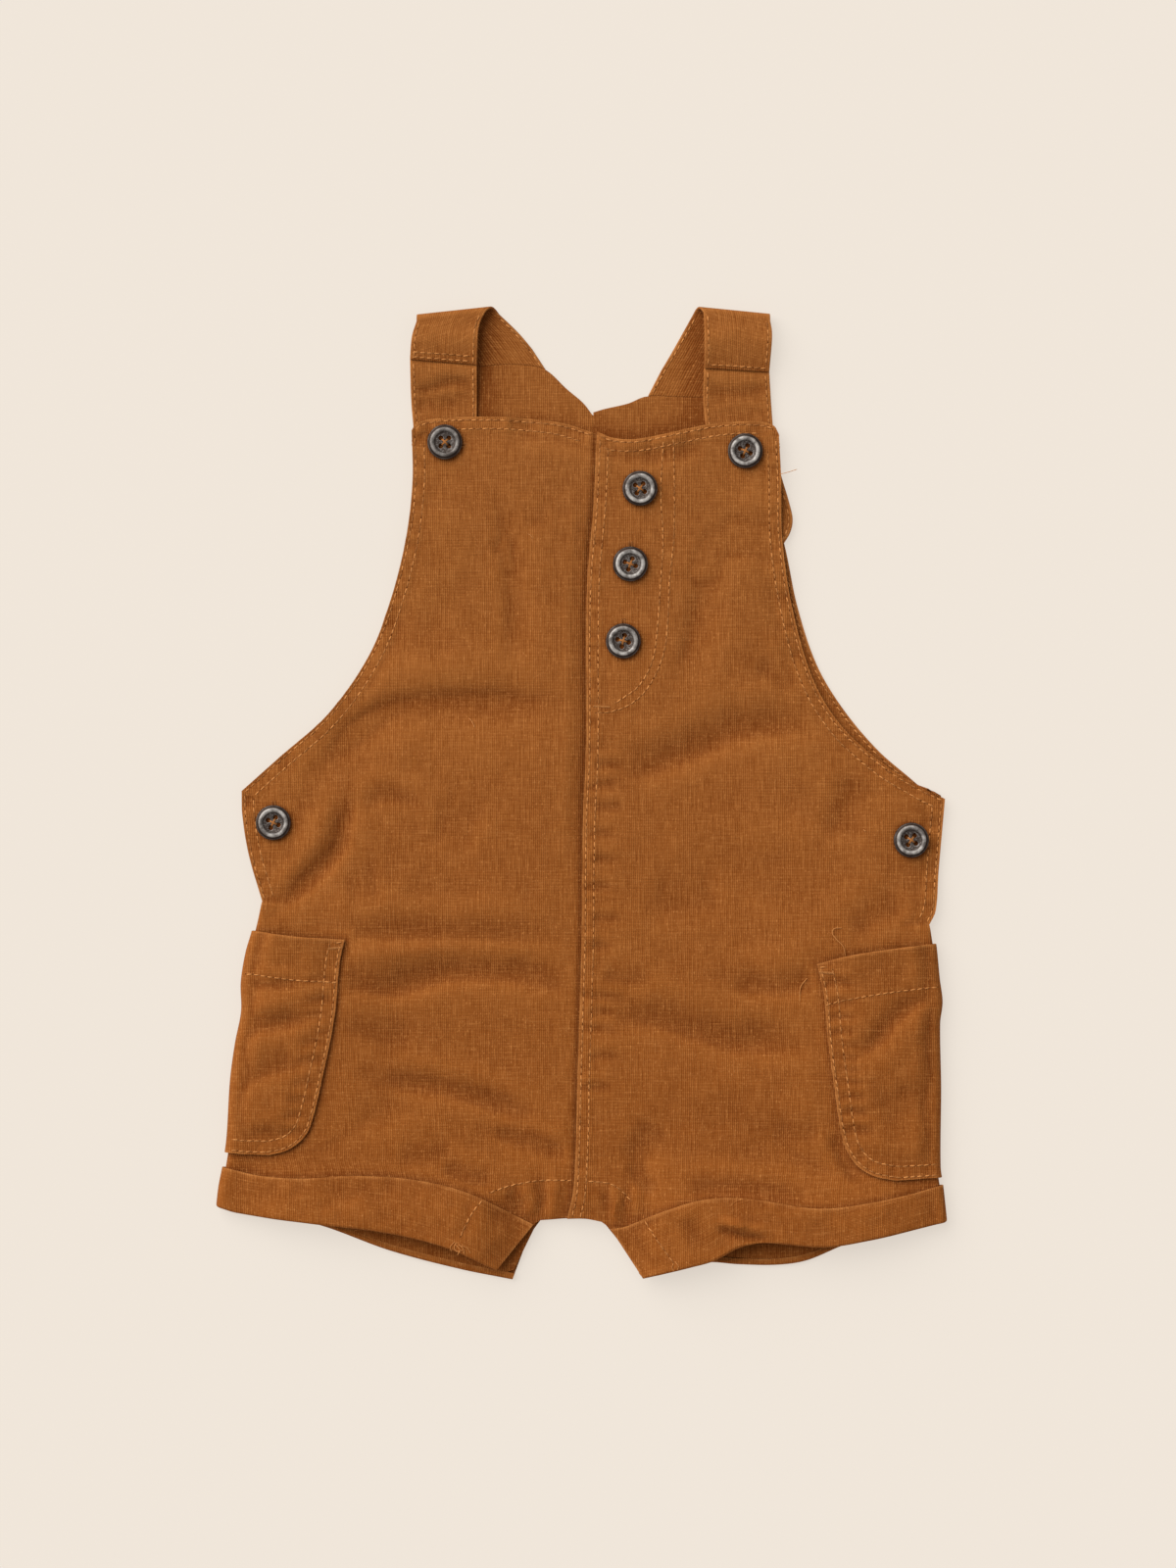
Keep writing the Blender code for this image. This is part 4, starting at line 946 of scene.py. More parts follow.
@dataclass(frozen=True)
class WovenCloth:
    """Garment-washed plain weave with uneven yarns, paler where it is worn, darkened by painted
    shade, and with painted light paler at the top than towards the legs.
    """

    name: str = "tobacco_cloth"
    body: Triple = (0.338, 0.114, 0.0240)
    foot: Triple = (0.290, 0.081, 0.0115)  # painted light: richer and darker towards the legs than at the top
    # the yarns' dark tone, and the colour of painted shade
    deep: Triple = (0.160, 0.037, 0.0045)
    pale: Triple = (0.51, 0.200, 0.054)
    pitch: float = 0.84  # of the ribs along the cloth, in millimetres
    pick: float = 0.6  # of the yarns across it
    uneven: float = 6.0  # how far the yarns wander from even, in radians
    # Features per metre across and along the cloth.
    warps: Triple = (1250.0, 120.0, 1.0)
    wefts: Triple = (120.0, 1350.0, 1.0)
    slubs: Triple = (85.0, 900.0, 1.0)
    mottles: Triple = (38.0, 38.0, 1.0)
    flecks: Triple = (1700.0, 800.0, 1.0)

    def yarns(self, place: Signal, pitch: float, wander: Signal) -> Signal:
        """The tops of yarns side by side: 1 on each yarn, 0 between two."""
        turn = place * (2.0 * math.pi / (pitch * MM)) + (wander - 0.5) * self.uneven
        return turn.sine() * 0.5 + 0.5

    def make(self) -> bpy.types.Material:
        """The material, on the piece's own map of its grain."""
        shader = Shader(self.name)
        grain = shader.add("ShaderNodeUVMap", {"uv_map": "grain"}, ())
        across, along = shader.split(grain)
        upward = shader.split(shader.place())[1]
        warp, weft = shader.noise(grain, self.warps), shader.noise(grain, self.wefts)
        slub = shader.noise(grain, self.slubs, 1.0)
        mottle = shader.noise(grain, self.mottles, 3.0)
        fleck = shader.noise(grain, self.flecks, 1.0)
        ribs, picks = self.yarns(across, self.pitch, warp), self.yarns(along, self.pick, weft)
        yarn = (warp * 0.62 + weft * 0.38).over(0.34, 0.66)
        light = ribs * 0.42 + picks * 0.16 + yarn * 0.42
        painted_shade, wear = shader.attribute("painted_shade"), shader.attribute("wear")
        # painted light: paler towards the top, richer and darker towards the legs
        colour = shader.blend(upward.over(-0.17, 0.15), self.foot, self.body)
        # painted shade from troughs and other pieces, with random mottle and the yarns' own tone,
        # leans towards the deep colour
        shade = painted_shade * 0.32 + (1.0 - mottle.over(0.32, 0.68)) * 0.07 + (1.0 - light) * 0.8
        colour = shader.blend(shade, colour, self.deep)
        bright = light.power(2.5) * 0.6 + slub.over(0.6, 0.74) * 0.16 + fleck.over(0.6, 0.74) * 0.5
        bright = bright + wear * (0.3 + mottle * 0.6) * 0.8
        colour = shader.blend(bright, colour, self.pale)
        height = ribs * 0.4 + picks * 0.25 + yarn * 0.25 + slub * 0.1
        return shader.set(
            Base_Color=colour, Roughness=0.97 - yarn * 0.1,
            Normal=shader.bump(height, 0.00024, 0.9),
            Sheen_Weight=0.04, Sheen_Roughness=0.6, Sheen_Tint=(0.9, 0.5, 0.25),
            Specular_IOR_Level=0.04,
        )


@dataclass(frozen=True)
class SewingThread:
    """Twisted thread a little paler than the cloth, with dark beads of painted shadow in its needle
    holes and buttonhole slits.
    """

    name: str = "gold_thread"
    light: Triple = (0.61, 0.255, 0.076)
    # the colour of painted shadow in needle holes and slits, and of darker stitches
    dark: Triple = (0.12, 0.030, 0.0045)

    def make(self) -> bpy.types.Material:
        """The material, on the shade stored with each stitch."""
        shader = Shader(self.name)
        fibre = shader.noise(shader.place(), (2600.0, 2600.0, 2600.0), 1.0)
        shade = shader.attribute("shade")
        colour = shader.blend(shade * (0.78 + fibre * 0.44), self.dark, self.light)
        return shader.set(
            Base_Color=colour, Roughness=0.75 + fibre * 0.2,
            Normal=shader.bump(fibre, 0.00012), Specular_IOR_Level=0.05,
        )


@dataclass(frozen=True)
class AgedGunmetal:
    """Dark cast metal, worn bright on the raised ring of a button, with a painted highlight on the
    lips of its holes.
    """

    name: str = "aged_gunmetal"
    dark: Triple = (0.036, 0.021, 0.015)
    worn: Triple = (0.50, 0.465, 0.43)

    def make(self) -> bpy.types.Material:
        """The material, on how far each point of a button lies from its middle, in millimetres."""
        shader = Shader(self.name)
        reach, bare, place = shader.attribute("reach"), shader.attribute("bare"), shader.place()
        speck = shader.noise(place, (1500.0, 1500.0, 1500.0), 3.0)
        patchy = shader.noise(place, (360.0, 360.0, 360.0), 2.0)
        scratch = shader.noise(place, (3800.0, 500.0, 900.0), 1.0)
        inner = reach.over(4.6, 4.0)
        # bare holds the worn ring and edge, and the painted highlight on the holes' lips
        worn = bare * (0.28 + patchy.over(0.36, 0.62) * 0.82)
        worn = worn + inner * (0.02 + patchy * 0.1 + speck.over(0.5, 0.66) * 0.3)
        return shader.set(
            Base_Color=shader.blend(worn * (0.75 + scratch * 0.4), self.dark, self.worn),
            Metallic=0.88 - bare * 0.36, Roughness=0.52 + speck * 0.16,
            Normal=shader.bump(speck * 0.6 + scratch * 0.4, 0.00006),
        )


@dataclass(frozen=True)
class PaleFloor:
    """A plain warm pale surface that glows, so that shadows stay faint."""

    name: str = "pale_floor"
    colour: Triple = (0.20, 0.1815, 0.161)
    glow: Triple = (0.6534, 0.5941, 0.5271)

    def make(self) -> bpy.types.Material:
        """The material, with a barely uneven tone."""
        shader = Shader(self.name)
        cloud = shader.noise(shader.place(), (5.0, 5.0, 5.0))
        nearly = tuple(0.985 * part for part in self.colour)
        return shader.set(
            Base_Color=shader.blend(cloud, nearly, self.colour), Roughness=0.95,
            Specular_IOR_Level=0.1, Emission_Color=self.glow, Emission_Strength=1.0,
        )


@dataclass
class Wardrobe:
    """The finishes, each made once."""

    cloth: bpy.types.Material = field(default_factory=lambda: WovenCloth().make())
    thread: bpy.types.Material = field(default_factory=lambda: SewingThread().make())
    metal: bpy.types.Material = field(default_factory=lambda: AgedGunmetal().make())
    floor: bpy.types.Material = field(default_factory=lambda: PaleFloor().make())


# ---- pieces --------------------------------------------------------------------------------------
def link(name: str, mesh: bpy.types.Mesh, finish: bpy.types.Material) -> bpy.types.Object:
    """A smooth-shaded object for a mesh, in the scene, with its finish."""
    mesh.materials.append(finish)
    mesh.shade_smooth()
    made = bpy.data.objects.new(name, mesh)
    bpy.context.scene.collection.objects.link(made)
    return made


def as_mesh(name: str, work: bmesh.types.BMesh) -> bpy.types.Mesh:
    """The mesh of finished work, which is freed."""
    mesh = bpy.data.meshes.new(name)
    work.to_mesh(mesh)
    work.free()
    return mesh


def positions(mesh: bpy.types.Mesh) -> Array:
    """The points of a mesh, as rows of x, y, z."""
    points = np.empty(len(mesh.vertices) * 3)
    mesh.vertices.foreach_get("co", points)
    return points.reshape(-1, 3)


def run_length(x: Array, y: Array, z: Array, axis: int) -> Array:
    """The distance gone along the lines of a grid, from the start of each."""
    gone = np.linalg.norm(np.diff(np.stack([x, y, z], -1), axis=axis), axis=-1)
    before = [(1, 0), (0, 0)] if axis == 0 else [(0, 0), (1, 0)]
    return np.cumsum(np.pad(gone, before), axis=axis)


def store(mesh: bpy.types.Mesh, name: str, values: Array) -> None:
    """Stores a number on each point of a mesh."""
    mesh.attributes.new(name, "FLOAT", "POINT").data.foreach_set("value", np.ravel(values))


@dataclass
class Pile:
    """Many small shapes in thread, joined in one mesh."""

    points: list[Array] = field(default_factory=list)
    faces: list[tuple[int, ...]] = field(default_factory=list)
    shades: list[Array] = field(default_factory=list)
    count: int = 0

    def add(self, shape: bpy.types.Mesh, place: Matrix, shade: float) -> None:
        """Adds a copy of a shape.

        Args:
            shape: its mesh, in metres.
            place: where it goes.
            shade: from 0, in shadow, to 1, the thread's own colour.
        """
        turn = np.array(place)
        self.points.append(positions(shape) @ turn[:3, :3].T + turn[:3, 3])
        self.faces += [tuple(i + self.count for i in face.vertices) for face in shape.polygons]
        self.shades.append(np.full(len(shape.vertices), shade))
        self.count += len(shape.vertices)

    def build(self, name: str, finish: bpy.types.Material) -> bpy.types.Object:
        """The joined piece, as an object."""
        mesh = bpy.data.meshes.new(name)
        mesh.from_pydata(np.concatenate(self.points).tolist(), [], self.faces)
        store(mesh, "shade", np.concatenate(self.shades))
        return link(name, mesh, finish)


def bead(long: float, wide: float, high: float, bow: float) -> bpy.types.Mesh:
    """A small bowed ellipsoid.

    Args:
        long: its length, in millimetres.
        wide: its width.
        high: its height.
        bow: how far its ends drop below its middle.

    Returns:
        The mesh, along X with its top up.
    """
    work = bmesh.new()
    bmesh.ops.create_uvsphere(work, u_segments=6, v_segments=5, radius=0.5)
    turn = Matrix.Rotation(math.pi / 2, 3, "Y")
    bmesh.ops.rotate(work, verts=work.verts, cent=(0, 0, 0), matrix=turn)
    bmesh.ops.scale(work, verts=work.verts, vec=(long * MM, wide * MM, high * MM))
    for vertex in work.verts:
        vertex.co.z -= bow * MM * (2.0 * vertex.co.x / (long * MM)) ** 2
    return as_mesh("bead", work)


def tube(points: Array, radius: float) -> bpy.types.Mesh:
    """A thin round tube along points, in millimetres, as a mesh in metres."""
    curve = bpy.data.curves.new("strand", "CURVE")
    curve.dimensions, curve.bevel_depth, curve.bevel_resolution = "3D", radius * MM, 1
    curve.use_fill_caps = True
    spline = curve.splines.new("POLY")
    spline.points.add(len(points) - 1)
    for point, place in zip(spline.points, points):
        point.co = (*(np.asarray(place) * MM), 1.0)
    carrier = bpy.data.objects.new("strand", curve)
    mesh = bpy.data.meshes.new_from_object(carrier)
    bpy.data.objects.remove(carrier)
    return mesh


@dataclass
class Sewing:
    """Stitches on pieces of cloth, each set where a line on the plan meets their surface."""

    thread: bpy.types.Material
    length: float = 2.25
    pitch: float = 2.9
    stitch_size: Triple = (0.6, 0.46, 0.14)  # width, height and bow
    hole_shadow_size: tuple[float, float, float, float] = (0.9, 0.5, 0.12, 0.0)  # the dark bead of painted shadow in a needle hole, length first
    wander: float = 0.14  # how far a row strays from its line
    steepest: float = 1.6  # no stitch goes up a step that is higher than this
    seed: int = 5
    pile: Pile = field(default_factory=Pile)

    def __post_init__(self) -> None:
        """Makes the shapes that are repeated and the seeded numbers."""
        self.stitch = bead(self.length, *self.stitch_size)
        # each needle hole is a dark bead of painted shadow
        self.hole = bead(*self.hole_shadow_size)
        self.chance = np.random.default_rng(self.seed)

    def touch(self, tree: BVHTree, x: float, y: float, above: bool = True) -> tuple | None:
        """Where a line straight down, or up, first meets the cloth.

        Args:
            tree: the surface of the piece.
            x: the place across.
            y: the place up.
            above: whether it comes from above.

        Returns:
            The point and the way out of the surface, or None.
        """
        start = Vector((x * MM, y * MM, 0.1 if above else -0.1))
        way = Vector((0, 0, -1 if above else 1))
        place, normal = tree.ray_cast(start, way)[:2]
        if place is None:
            return None
        return place, (normal if normal.dot(way) < 0 else -normal)

    def set(
        self, shape: bpy.types.Mesh, tree: BVHTree, ends: Array, above: bool,
        rise: float, shade: float, lean: float = 0.0,
    ) -> None:
        """Sets one shape between two ends on the cloth, or leaves it out where there is none.

        Args:
            shape: the shape's mesh.
            tree: the surface of the piece.
            ends: its two ends on the plan, in millimetres.
            above: whether it lies on top.
            rise: how far its middle stands off the cloth, in millimetres.
            shade: its shade.
            lean: its turn on the cloth, in radians.
        """
        first, last = (self.touch(tree, *end, above) for end in ends)
        if first is None or last is None or abs(first[0].z - last[0].z) > self.steepest * MM:
            return
        way = (last[0] - first[0]).normalized()
        up = (first[1] + last[1]).normalized()
        up = (up - way * up.dot(way)).normalized()
        turn = Matrix((way, up.cross(way), up)).transposed().to_4x4()
        middle = (first[0] + last[0]) / 2 + up * rise * MM
        place = Matrix.Translation(middle) @ turn @ Matrix.Rotation(lean, 4, "Z")
        self.pile.add(shape, place, shade)

    def row(self, tree: BVHTree, line: Line, above: bool = True) -> None:
        """A row of stitches along a line, with a dark bead of painted shadow for the needle hole
        between each two.
        """
        wander = self.chance.uniform(0, 90)
        for start in np.arange(0.2, line.length - self.length, self.pitch):
            start += self.chance.uniform(-0.12, 0.12)
            ends = line.at(np.array([start, start + self.length]))
            ends = ends + self.wander * NOISE.at(np.array([start]), wander, 14.0)
            lean = math.radians(5.0 + self.chance.normal(0, 3.0))
            shade = float(np.clip(self.chance.normal(0.8, 0.2), 0.35, 1.1))
            self.set(self.stitch, tree, ends, above, 0.1, shade, lean)
            gap = line.at(np.array([start + self.length - 0.1, start + self.pitch + 0.1]))
            # a dark bead of painted shadow in the needle hole
            self.set(self.hole, tree, gap, above, 0.02, float(self.chance.uniform(0.0, 0.4)))

    def bars(
        self, tree: BVHTree, line: Line, reach: float, step: float = 0.42,
        above: bool = True, shade: float = 0.8,
    ) -> None:
        """Short bars side by side across a line, as in a tack or the edge of a buttonhole."""
        shape = bead(2 * reach, 0.38, 0.34, 0.1)
        sides = [line.beside(reach), line.beside(-reach)]
        for at in np.arange(0.0, line.length, step):
            ends = np.array([side.at(at * side.length / line.length) for side in sides])
            self.set(shape, tree, ends, above, 0.12, shade * self.chance.uniform(0.8, 1.1))

    def buttonhole(self, tree: BVHTree, start: tuple, end: tuple) -> None:
        """A worked buttonhole between two places: a slit of painted shadow with bars along both
        lips.
        """
        line = Line([start, end])
        slit = bead(line.length, 0.5, 0.16, 0.0)
        # the slit is a dark bead of painted shadow
        self.set(slit, tree, line.points, True, 0.03, 0.0)
        for side in (0.6, -0.6):
            self.bars(tree, line.beside(side), 0.36, 0.5, shade=0.5)

    def strand(self, points: Sequence[Sequence[float]], radius: float, shade: float = 0.95) -> None:
        """A loose end of thread through points x, y, z, in millimetres."""
        rows = np.asarray(points, float)
        where = Line(rows[:, :2]).along
        t = steps(0.0, where[-1], 0.6)
        smoothed = np.stack([through(list(zip(where, rows[:, k])), t) for k in range(3)], 1)
        self.pile.add(tube(smoothed, radius), Matrix.Identity(4), shade)

    def finish(self, name: str) -> bpy.types.Object | None:
        """The stitches as one object, or None where there are none."""
        return self.pile.build(name, self.thread) if self.pile.count else None


@dataclass
class Cloth:
    """A piece of cloth as it lies: a wall grown inwards from its outer surface."""

    half: Half
    wardrobe: Wardrobe
    face: Face = Face.FRONT
    wall: float = WALL
    rim: float = 0.3

    def __post_init__(self) -> None:
        """Works out how its half of the garment lies."""
        self.lay = Lay(self.half)
        self.object: bpy.types.Object | None = None
        self.tree: BVHTree | None = None

    @property
    def node(self) -> str:
        """The name of its solid."""
        raise NotImplementedError

    @property
    def outwards(self) -> bool:
        """Whether the grid's own faces point out of the garment."""
        return (self.face is Face.FRONT) != (self.half.side > 0)

    @property
    def open_rims(self) -> tuple[tuple[bool, bool], tuple[bool, bool]]:
        """Whether the first and last row, and the first and last column, are worn open edges."""
        return (True, True), (True, True)

    def surface(self) -> tuple[Array, Array, Array]:
        """Rows of x, y and z of its outer surface, in millimetres."""
        raise NotImplementedError

    def grain(self, x: Array, y: Array, z: Array) -> Array:
        """The cloth's own map: the distance across it and along it at each point, in metres."""
        across = run_length(x, 0 * y, z, 1)
        across = self.half.side * (across[:, -1:] - across) + x[:, -1:]
        return np.stack([across, y], -1) * MM

    def build(self) -> bpy.types.Object:
        """Builds its mesh and gives it its wall, rounded rims and finish.

        Returns:
            The object.
        """
        x, y, z = self.surface()
        rows, columns = x.shape
        work = bmesh.new()
        bmesh.ops.create_grid(work, x_segments=columns - 1, y_segments=rows - 1, size=1.0)
        places = np.stack([x, y, z], -1).reshape(-1, 3) * MM
        for vertex, place in zip(work.verts, places):
            vertex.co = place
        if not self.outwards:
            bmesh.ops.reverse_faces(work, faces=work.faces)
        mesh = as_mesh(self.node, work)
        corner = np.empty(len(mesh.loops), np.int32)
        mesh.loops.foreach_get("vertex_index", corner)
        grain = self.grain(x, y, z).reshape(-1, 2)
        mesh.uv_layers.new(name="grain").data.foreach_set("uv", grain[corner].ravel())
        store(mesh, "wear", self.wear(x, y, z))
        # painted shade in troughs and beside other pieces, for the cloth's colour
        store(mesh, "painted_shade", self.painted_shade(x, y, z))
        self.object = link(f"cloth_{self.node}", mesh, self.wardrobe.cloth)
        wall = self.object.modifiers.new("wall", "SOLIDIFY")
        wall.thickness, wall.offset = self.wall * MM, -1.0
        rim = self.object.modifiers.new("rim", "BEVEL")
        rim.limit_method, rim.angle_limit = "ANGLE", math.radians(50.0)
        rim.width, rim.segments = self.rim * MM, 2
        bpy.context.view_layer.update()
        self.tree = BVHTree.FromObject(self.object, bpy.context.evaluated_depsgraph_get())
        return self.object

    def wear(self, x: Array, y: Array, z: Array) -> Array:
        """How worn each point is, from the distance to the piece's own rim."""
        nearest = np.full(x.shape, FAR)
        for axis, (first, last) in enumerate(self.open_rims):
            gone = run_length(x, y, z, axis)
            total = gone[-1:] if axis == 0 else gone[:, -1:]
            nearest = np.minimum(nearest, gone + (0 if first else FAR))
            nearest = np.minimum(nearest, total - gone + (0 if last else FAR))
        return bell(nearest / 0.8) * (0.75 + 0.6 * NOISE.at(x, y, 3.5))

    def painted_shade(self, x: Array, y: Array, z: Array) -> Array:
        """Painted shade from how deep each point lies in a wide and a narrow trough, found from the
        heights around it.
        """
        found = np.zeros(z.shape)
        for rounds, deepest, share in TROUGH_SHADE_PASSES:
            mean = z
            for _ in range(rounds):
                wide = np.pad(mean, 1, mode="edge")
                mean = (wide[:-2, 1:-1] + wide[2:, 1:-1] + wide[1:-1, :-2] + wide[1:-1, 2:]) / 4.0
            found += share * np.clip((mean - z) / deepest, -0.5, 1.0)
        return found

    def sew(self, sewing: Sewing) -> None:
        """Adds the piece's stitches, none unless a kind of piece says so."""

    def loose_ends(self, sewing: Sewing) -> None:
        """Adds the loose ends of thread and the lint that lie on the piece."""
        for plan, rise, radius in LOOSE_ENDS.get(self.node, ()):
            rows = []
            for k, (x, y) in enumerate(plan):
                hit = sewing.touch(self.tree, x, y)
                z = hit[0].z / MM if hit else rows[-1][2] - rise
                rows.append((x, y, z + radius + rise * math.sin(math.pi * k / (len(plan) - 1))))
            sewing.strand(rows, radius)

    def dress(self) -> None:
        sewing = Sewing(self.wardrobe.thread, seed=len(self.node) + 3 * (self.half.side > 0))
        self.sew(sewing)
        self.loose_ends(sewing)
        stitches = sewing.finish(f"stitches_{self.node}")
        for piece, slot in ((self.object, "cloth"), (stitches, "thread")):
            if piece:
                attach(piece, "root")
        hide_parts(self.node)
        LOG.info("%s: %d stitch points", self.object.name, sewing.pile.count)


@dataclass
class Panel(Cloth):
    """A front or a back, from the hem to the top and from the side to the centre."""

    @property
    def node(self) -> str:
        """The name of its solid."""
        return f"{self.face.value}_{self.half.name}"

    @property
    def open_rims(self) -> tuple[tuple[bool, bool], tuple[bool, bool]]:
        """The seams down the centre of the back and across its top aren't worn."""
        front = self.face is Face.FRONT
        return (False, front), (True, front)

    def edges(self) -> tuple[Callable, Callable, Plan, float, float]:
        """Its side and centre lines, its plan, and the heights where its side starts and ends."""
        half, front = self.half, self.face is Face.FRONT
        sides = half.front_side if front else half.back_side
        foot = half.foot_front if front else half.foot_back
        top = half.neck if front else half.yoke
        middle = CENTRE_FRONT if front else CENTRE_BACK
        shift = (FRONT_LAP if half.side < 0 else 0.0) if front else -half.side * SEAM_BITE
        inner, outer = (-1, 0) if half.side < 0 else (0, -1)
        low, high = foot[outer][outer][1] + HEM_TUCK, sides[-1][-1][0]
        centre_low, centre_high = foot[inner][inner][1] + HEM_TUCK / 2, top[inner][1]
        side_line = upright(sides, low, high)
        centre_line = upright((middle,), centre_low, centre_high, shift)
        plan = patch(side_line, centre_line, foot, (top,), HEM_TUCK)
        return side_line, centre_line, plan, low, high

    def surface(self) -> tuple[Array, Array, Array]:
        """Rows of x, y and z of its outer surface, in millimetres."""
        half, lay, front = self.half, self.lay, self.face is Face.FRONT
        side_line, centre_line, plan, low, high = self.edges()
        sides = half.front_side if front else half.back_side
        step, turns, columns = FRONT_CELLS if front else BACK_CELLS
        marks = (low, half.vent_foot, *(table[0][0] for table in sides[2:]), high - EDGE_MARGIN)
        y_side = graduated((*marks, high), (*[step] * (len(marks) - 1), FINE))
        v = ((y_side - low) / (high - low))[:, None]
        width = np.abs(centre_line(v)[0] - side_line(v)[0])
        turn = np.radians(np.linspace(0.0, 90.0, turns + 1))[None, :-1]
        inward = graded(width[:, 0] - SIDE_ROUND, True, True, columns)
        depth = SIDE_ROUND * (1 - np.cos(turn)) + 0 * v
        depth = np.concatenate([depth, SIDE_ROUND + inward], axis=1)
        turned = np.concatenate([1 - np.sin(turn) + 0 * v, 0 * inward], axis=1)
        x, y = plan(depth / width, v)
        closed = lay.closed(y) * turned
        if front:
            z = lay.front_over(x, y) - closed * (SIDE_ROUND - SIDE_SLIT)
        else:
            z = lay.back_outer(x, y) + closed * (SIDE_ROUND - UNDERSIDE - SIDE_SLIT)
        return x, y, z

    def painted_shade(self, x: Array, y: Array, z: Array) -> Array:
        """How much painted shade each point gets, from troughs and from the shade of other pieces.
        """
        shade, half = super().painted_shade(x, y, z), self.half
        if self.face is Face.FRONT:
            # painted shade round pockets and cuffs, under and round buttons, and beside the lap
            shade = shade + COVER_SHADE.at(self.lay.beneath_covers(x, y))
            for _, worn_by, across, up, _, _ in BUTTONS:
                if worn_by is half:
                    near = BUTTON_SHADE_REACH - np.hypot(x - across, y - up)
                    shade = shade + BUTTON_SHADE * smooth(near / BUTTON_SHADE_RAMP)
            if half.side < 0:
                shade = shade + LAP_SHADE.at(x - through(CENTRE_FRONT, y))
            return shade
        # painted shade beside the straps and under the bib's edge
        over = np.maximum(y - through(half.neck, x), 0.0)
        shade = shade + self.lay.strap_shade(x, y) + BIB_SHADE.at(over)
        if half.side > 0:
            middle = smooth((x + 2.0) / 6.0) * smooth((50.0 - x) / 14.0)
            shade = shade + BIB_SHADE_MIDDLE.at(over) * middle
        return shade

    def sew(self, sewing: Sewing) -> None:
        """Sews the open edges, the centre seam, the placket and the inside leg."""
        half, tree = self.half, self.tree
        if self.face is Face.BACK:
            return self.sew_back(sewing)
        sides = half.front_side
        first, last = limits(half.neck)
        neckline = Line.across((half.neck,), first, NECK_SEWN if half.side < 0 else last, 1.0)
        vent = Line.up(sides, half.vent_foot, sides[1][-1][0], 1.0)
        armhole = Line.up(sides, *limits(sides[2]), 1.0)
        for inset in EDGE_ROWS:
            sewing.row(tree, neckline.beside(-inset).part(inset, inset))
            sewing.row(tree, vent.beside(half.side * inset).part(0.5, inset * 0.6))
            sewing.row(tree, armhole.beside(half.side * inset).part(inset * 0.6, inset))
        if half.side > 0:
            centre = Line.up((CENTRE_FRONT,), -174.5, 145.0, 1.0)
            for inset in CENTRE_ROWS:
                sewing.row(tree, centre.beside(-inset).part(0.0, inset))
            sewing.row(tree, Line.bowed(PLACKET_INNER, 1.0))
            sewing.row(tree, Line.bowed(PLACKET_OUTER, 1.0))
            sewing.bars(tree, Line(PLACKET_TACK), 0.5)
        sewing.row(tree, Line.bowed(INSEAMS[half.name], 1.0))
        for x, y, long, stands in BUTTONHOLES[half.name]:
            sewing.buttonhole(tree, (x, y), (x, y - long) if stands else (x - long, y))

    def sew_back(self, sewing: Sewing) -> None:
        """Sews the back: its open edges on both sides and its centre seam below."""
        half, tree = self.half, self.tree
        armhole = Line.up(half.back_side, half.vent_foot, half.back_side[-1][-1][0], 1.0)
        yoke = Line.across((half.yoke,), *limits(half.yoke), 1.0)
        for inset in BACK_ROWS:
            for above in (False, True):
                sewing.row(tree, armhole.beside(half.side * inset).part(1.0, inset), above)
            sewing.row(tree, yoke.beside(-inset).part(inset, inset), False)
        centre = Line.up((CENTRE_BACK,), -174.0, 152.0, 1.0)
        for inset in BACK_CENTRE_ROWS if half.side > 0 else ():
            sewing.row(tree, centre.beside(-inset), False)


PLACKET_INNER = (
    (33.4, 143.0), (32.4, 120.8), (33.2, 103.6), (32.4, 86.0), (30.8, 64.4), (28.8, 53.2),
    (23.6, 43.6), (16.8, 38.4), (12.4, 35.6),
)
PLACKET_OUTER = (
    (37.6, 144.0), (38.0, 120.8), (37.6, 103.6), (36.0, 86.0), (34.8, 64.4), (32.4, 53.2),
    (27.2, 42.8), (21.2, 36.8), (13.2, 33.2), (5.6, 32.4),
)
PLACKET_TACK = ((5.2, 35.2), (11.8, 34.9))
# The stitch rows of the inside legs, on the fronts and on over the cuffs.
INSEAMS: dict[str, Pairs] = {
    "left": ((-3.2, -157.6), (-15.2, -157.6), (-28.0, -159.5), (-37.2, -162.4)),
    "right": ((2.8, -157.6), (12.8, -159.2), (20.5, -166.0)),
}
CUFF_INSEAMS: dict[str, Pairs] = {
    "left": ((-38.0, -163.0), (-44.0, -170.0), (-50.0, -182.0)),
    "right": ((22.8, -168.4), (30.0, -180.0), (38.0, -191.0)),
}
# Where each buttonhole ends clear of its button, its length, and whether it is upright.
BUTTONHOLES: dict[str, tuple[tuple[float, float, float, bool], ...]] = {
    "left": ((-46.9, 141.4, 12.0, False), (-125.2, -3.4, 11.0, True)),
    "right": (
        (73.0, 138.4, 12.0, False), (23.9, 130.4, 11.0, True), (20.0, 102.2, 11.0, True),
        (17.1, 70.8, 11.0, True), (134.2, -11.4, 11.0, True),
    ),
}
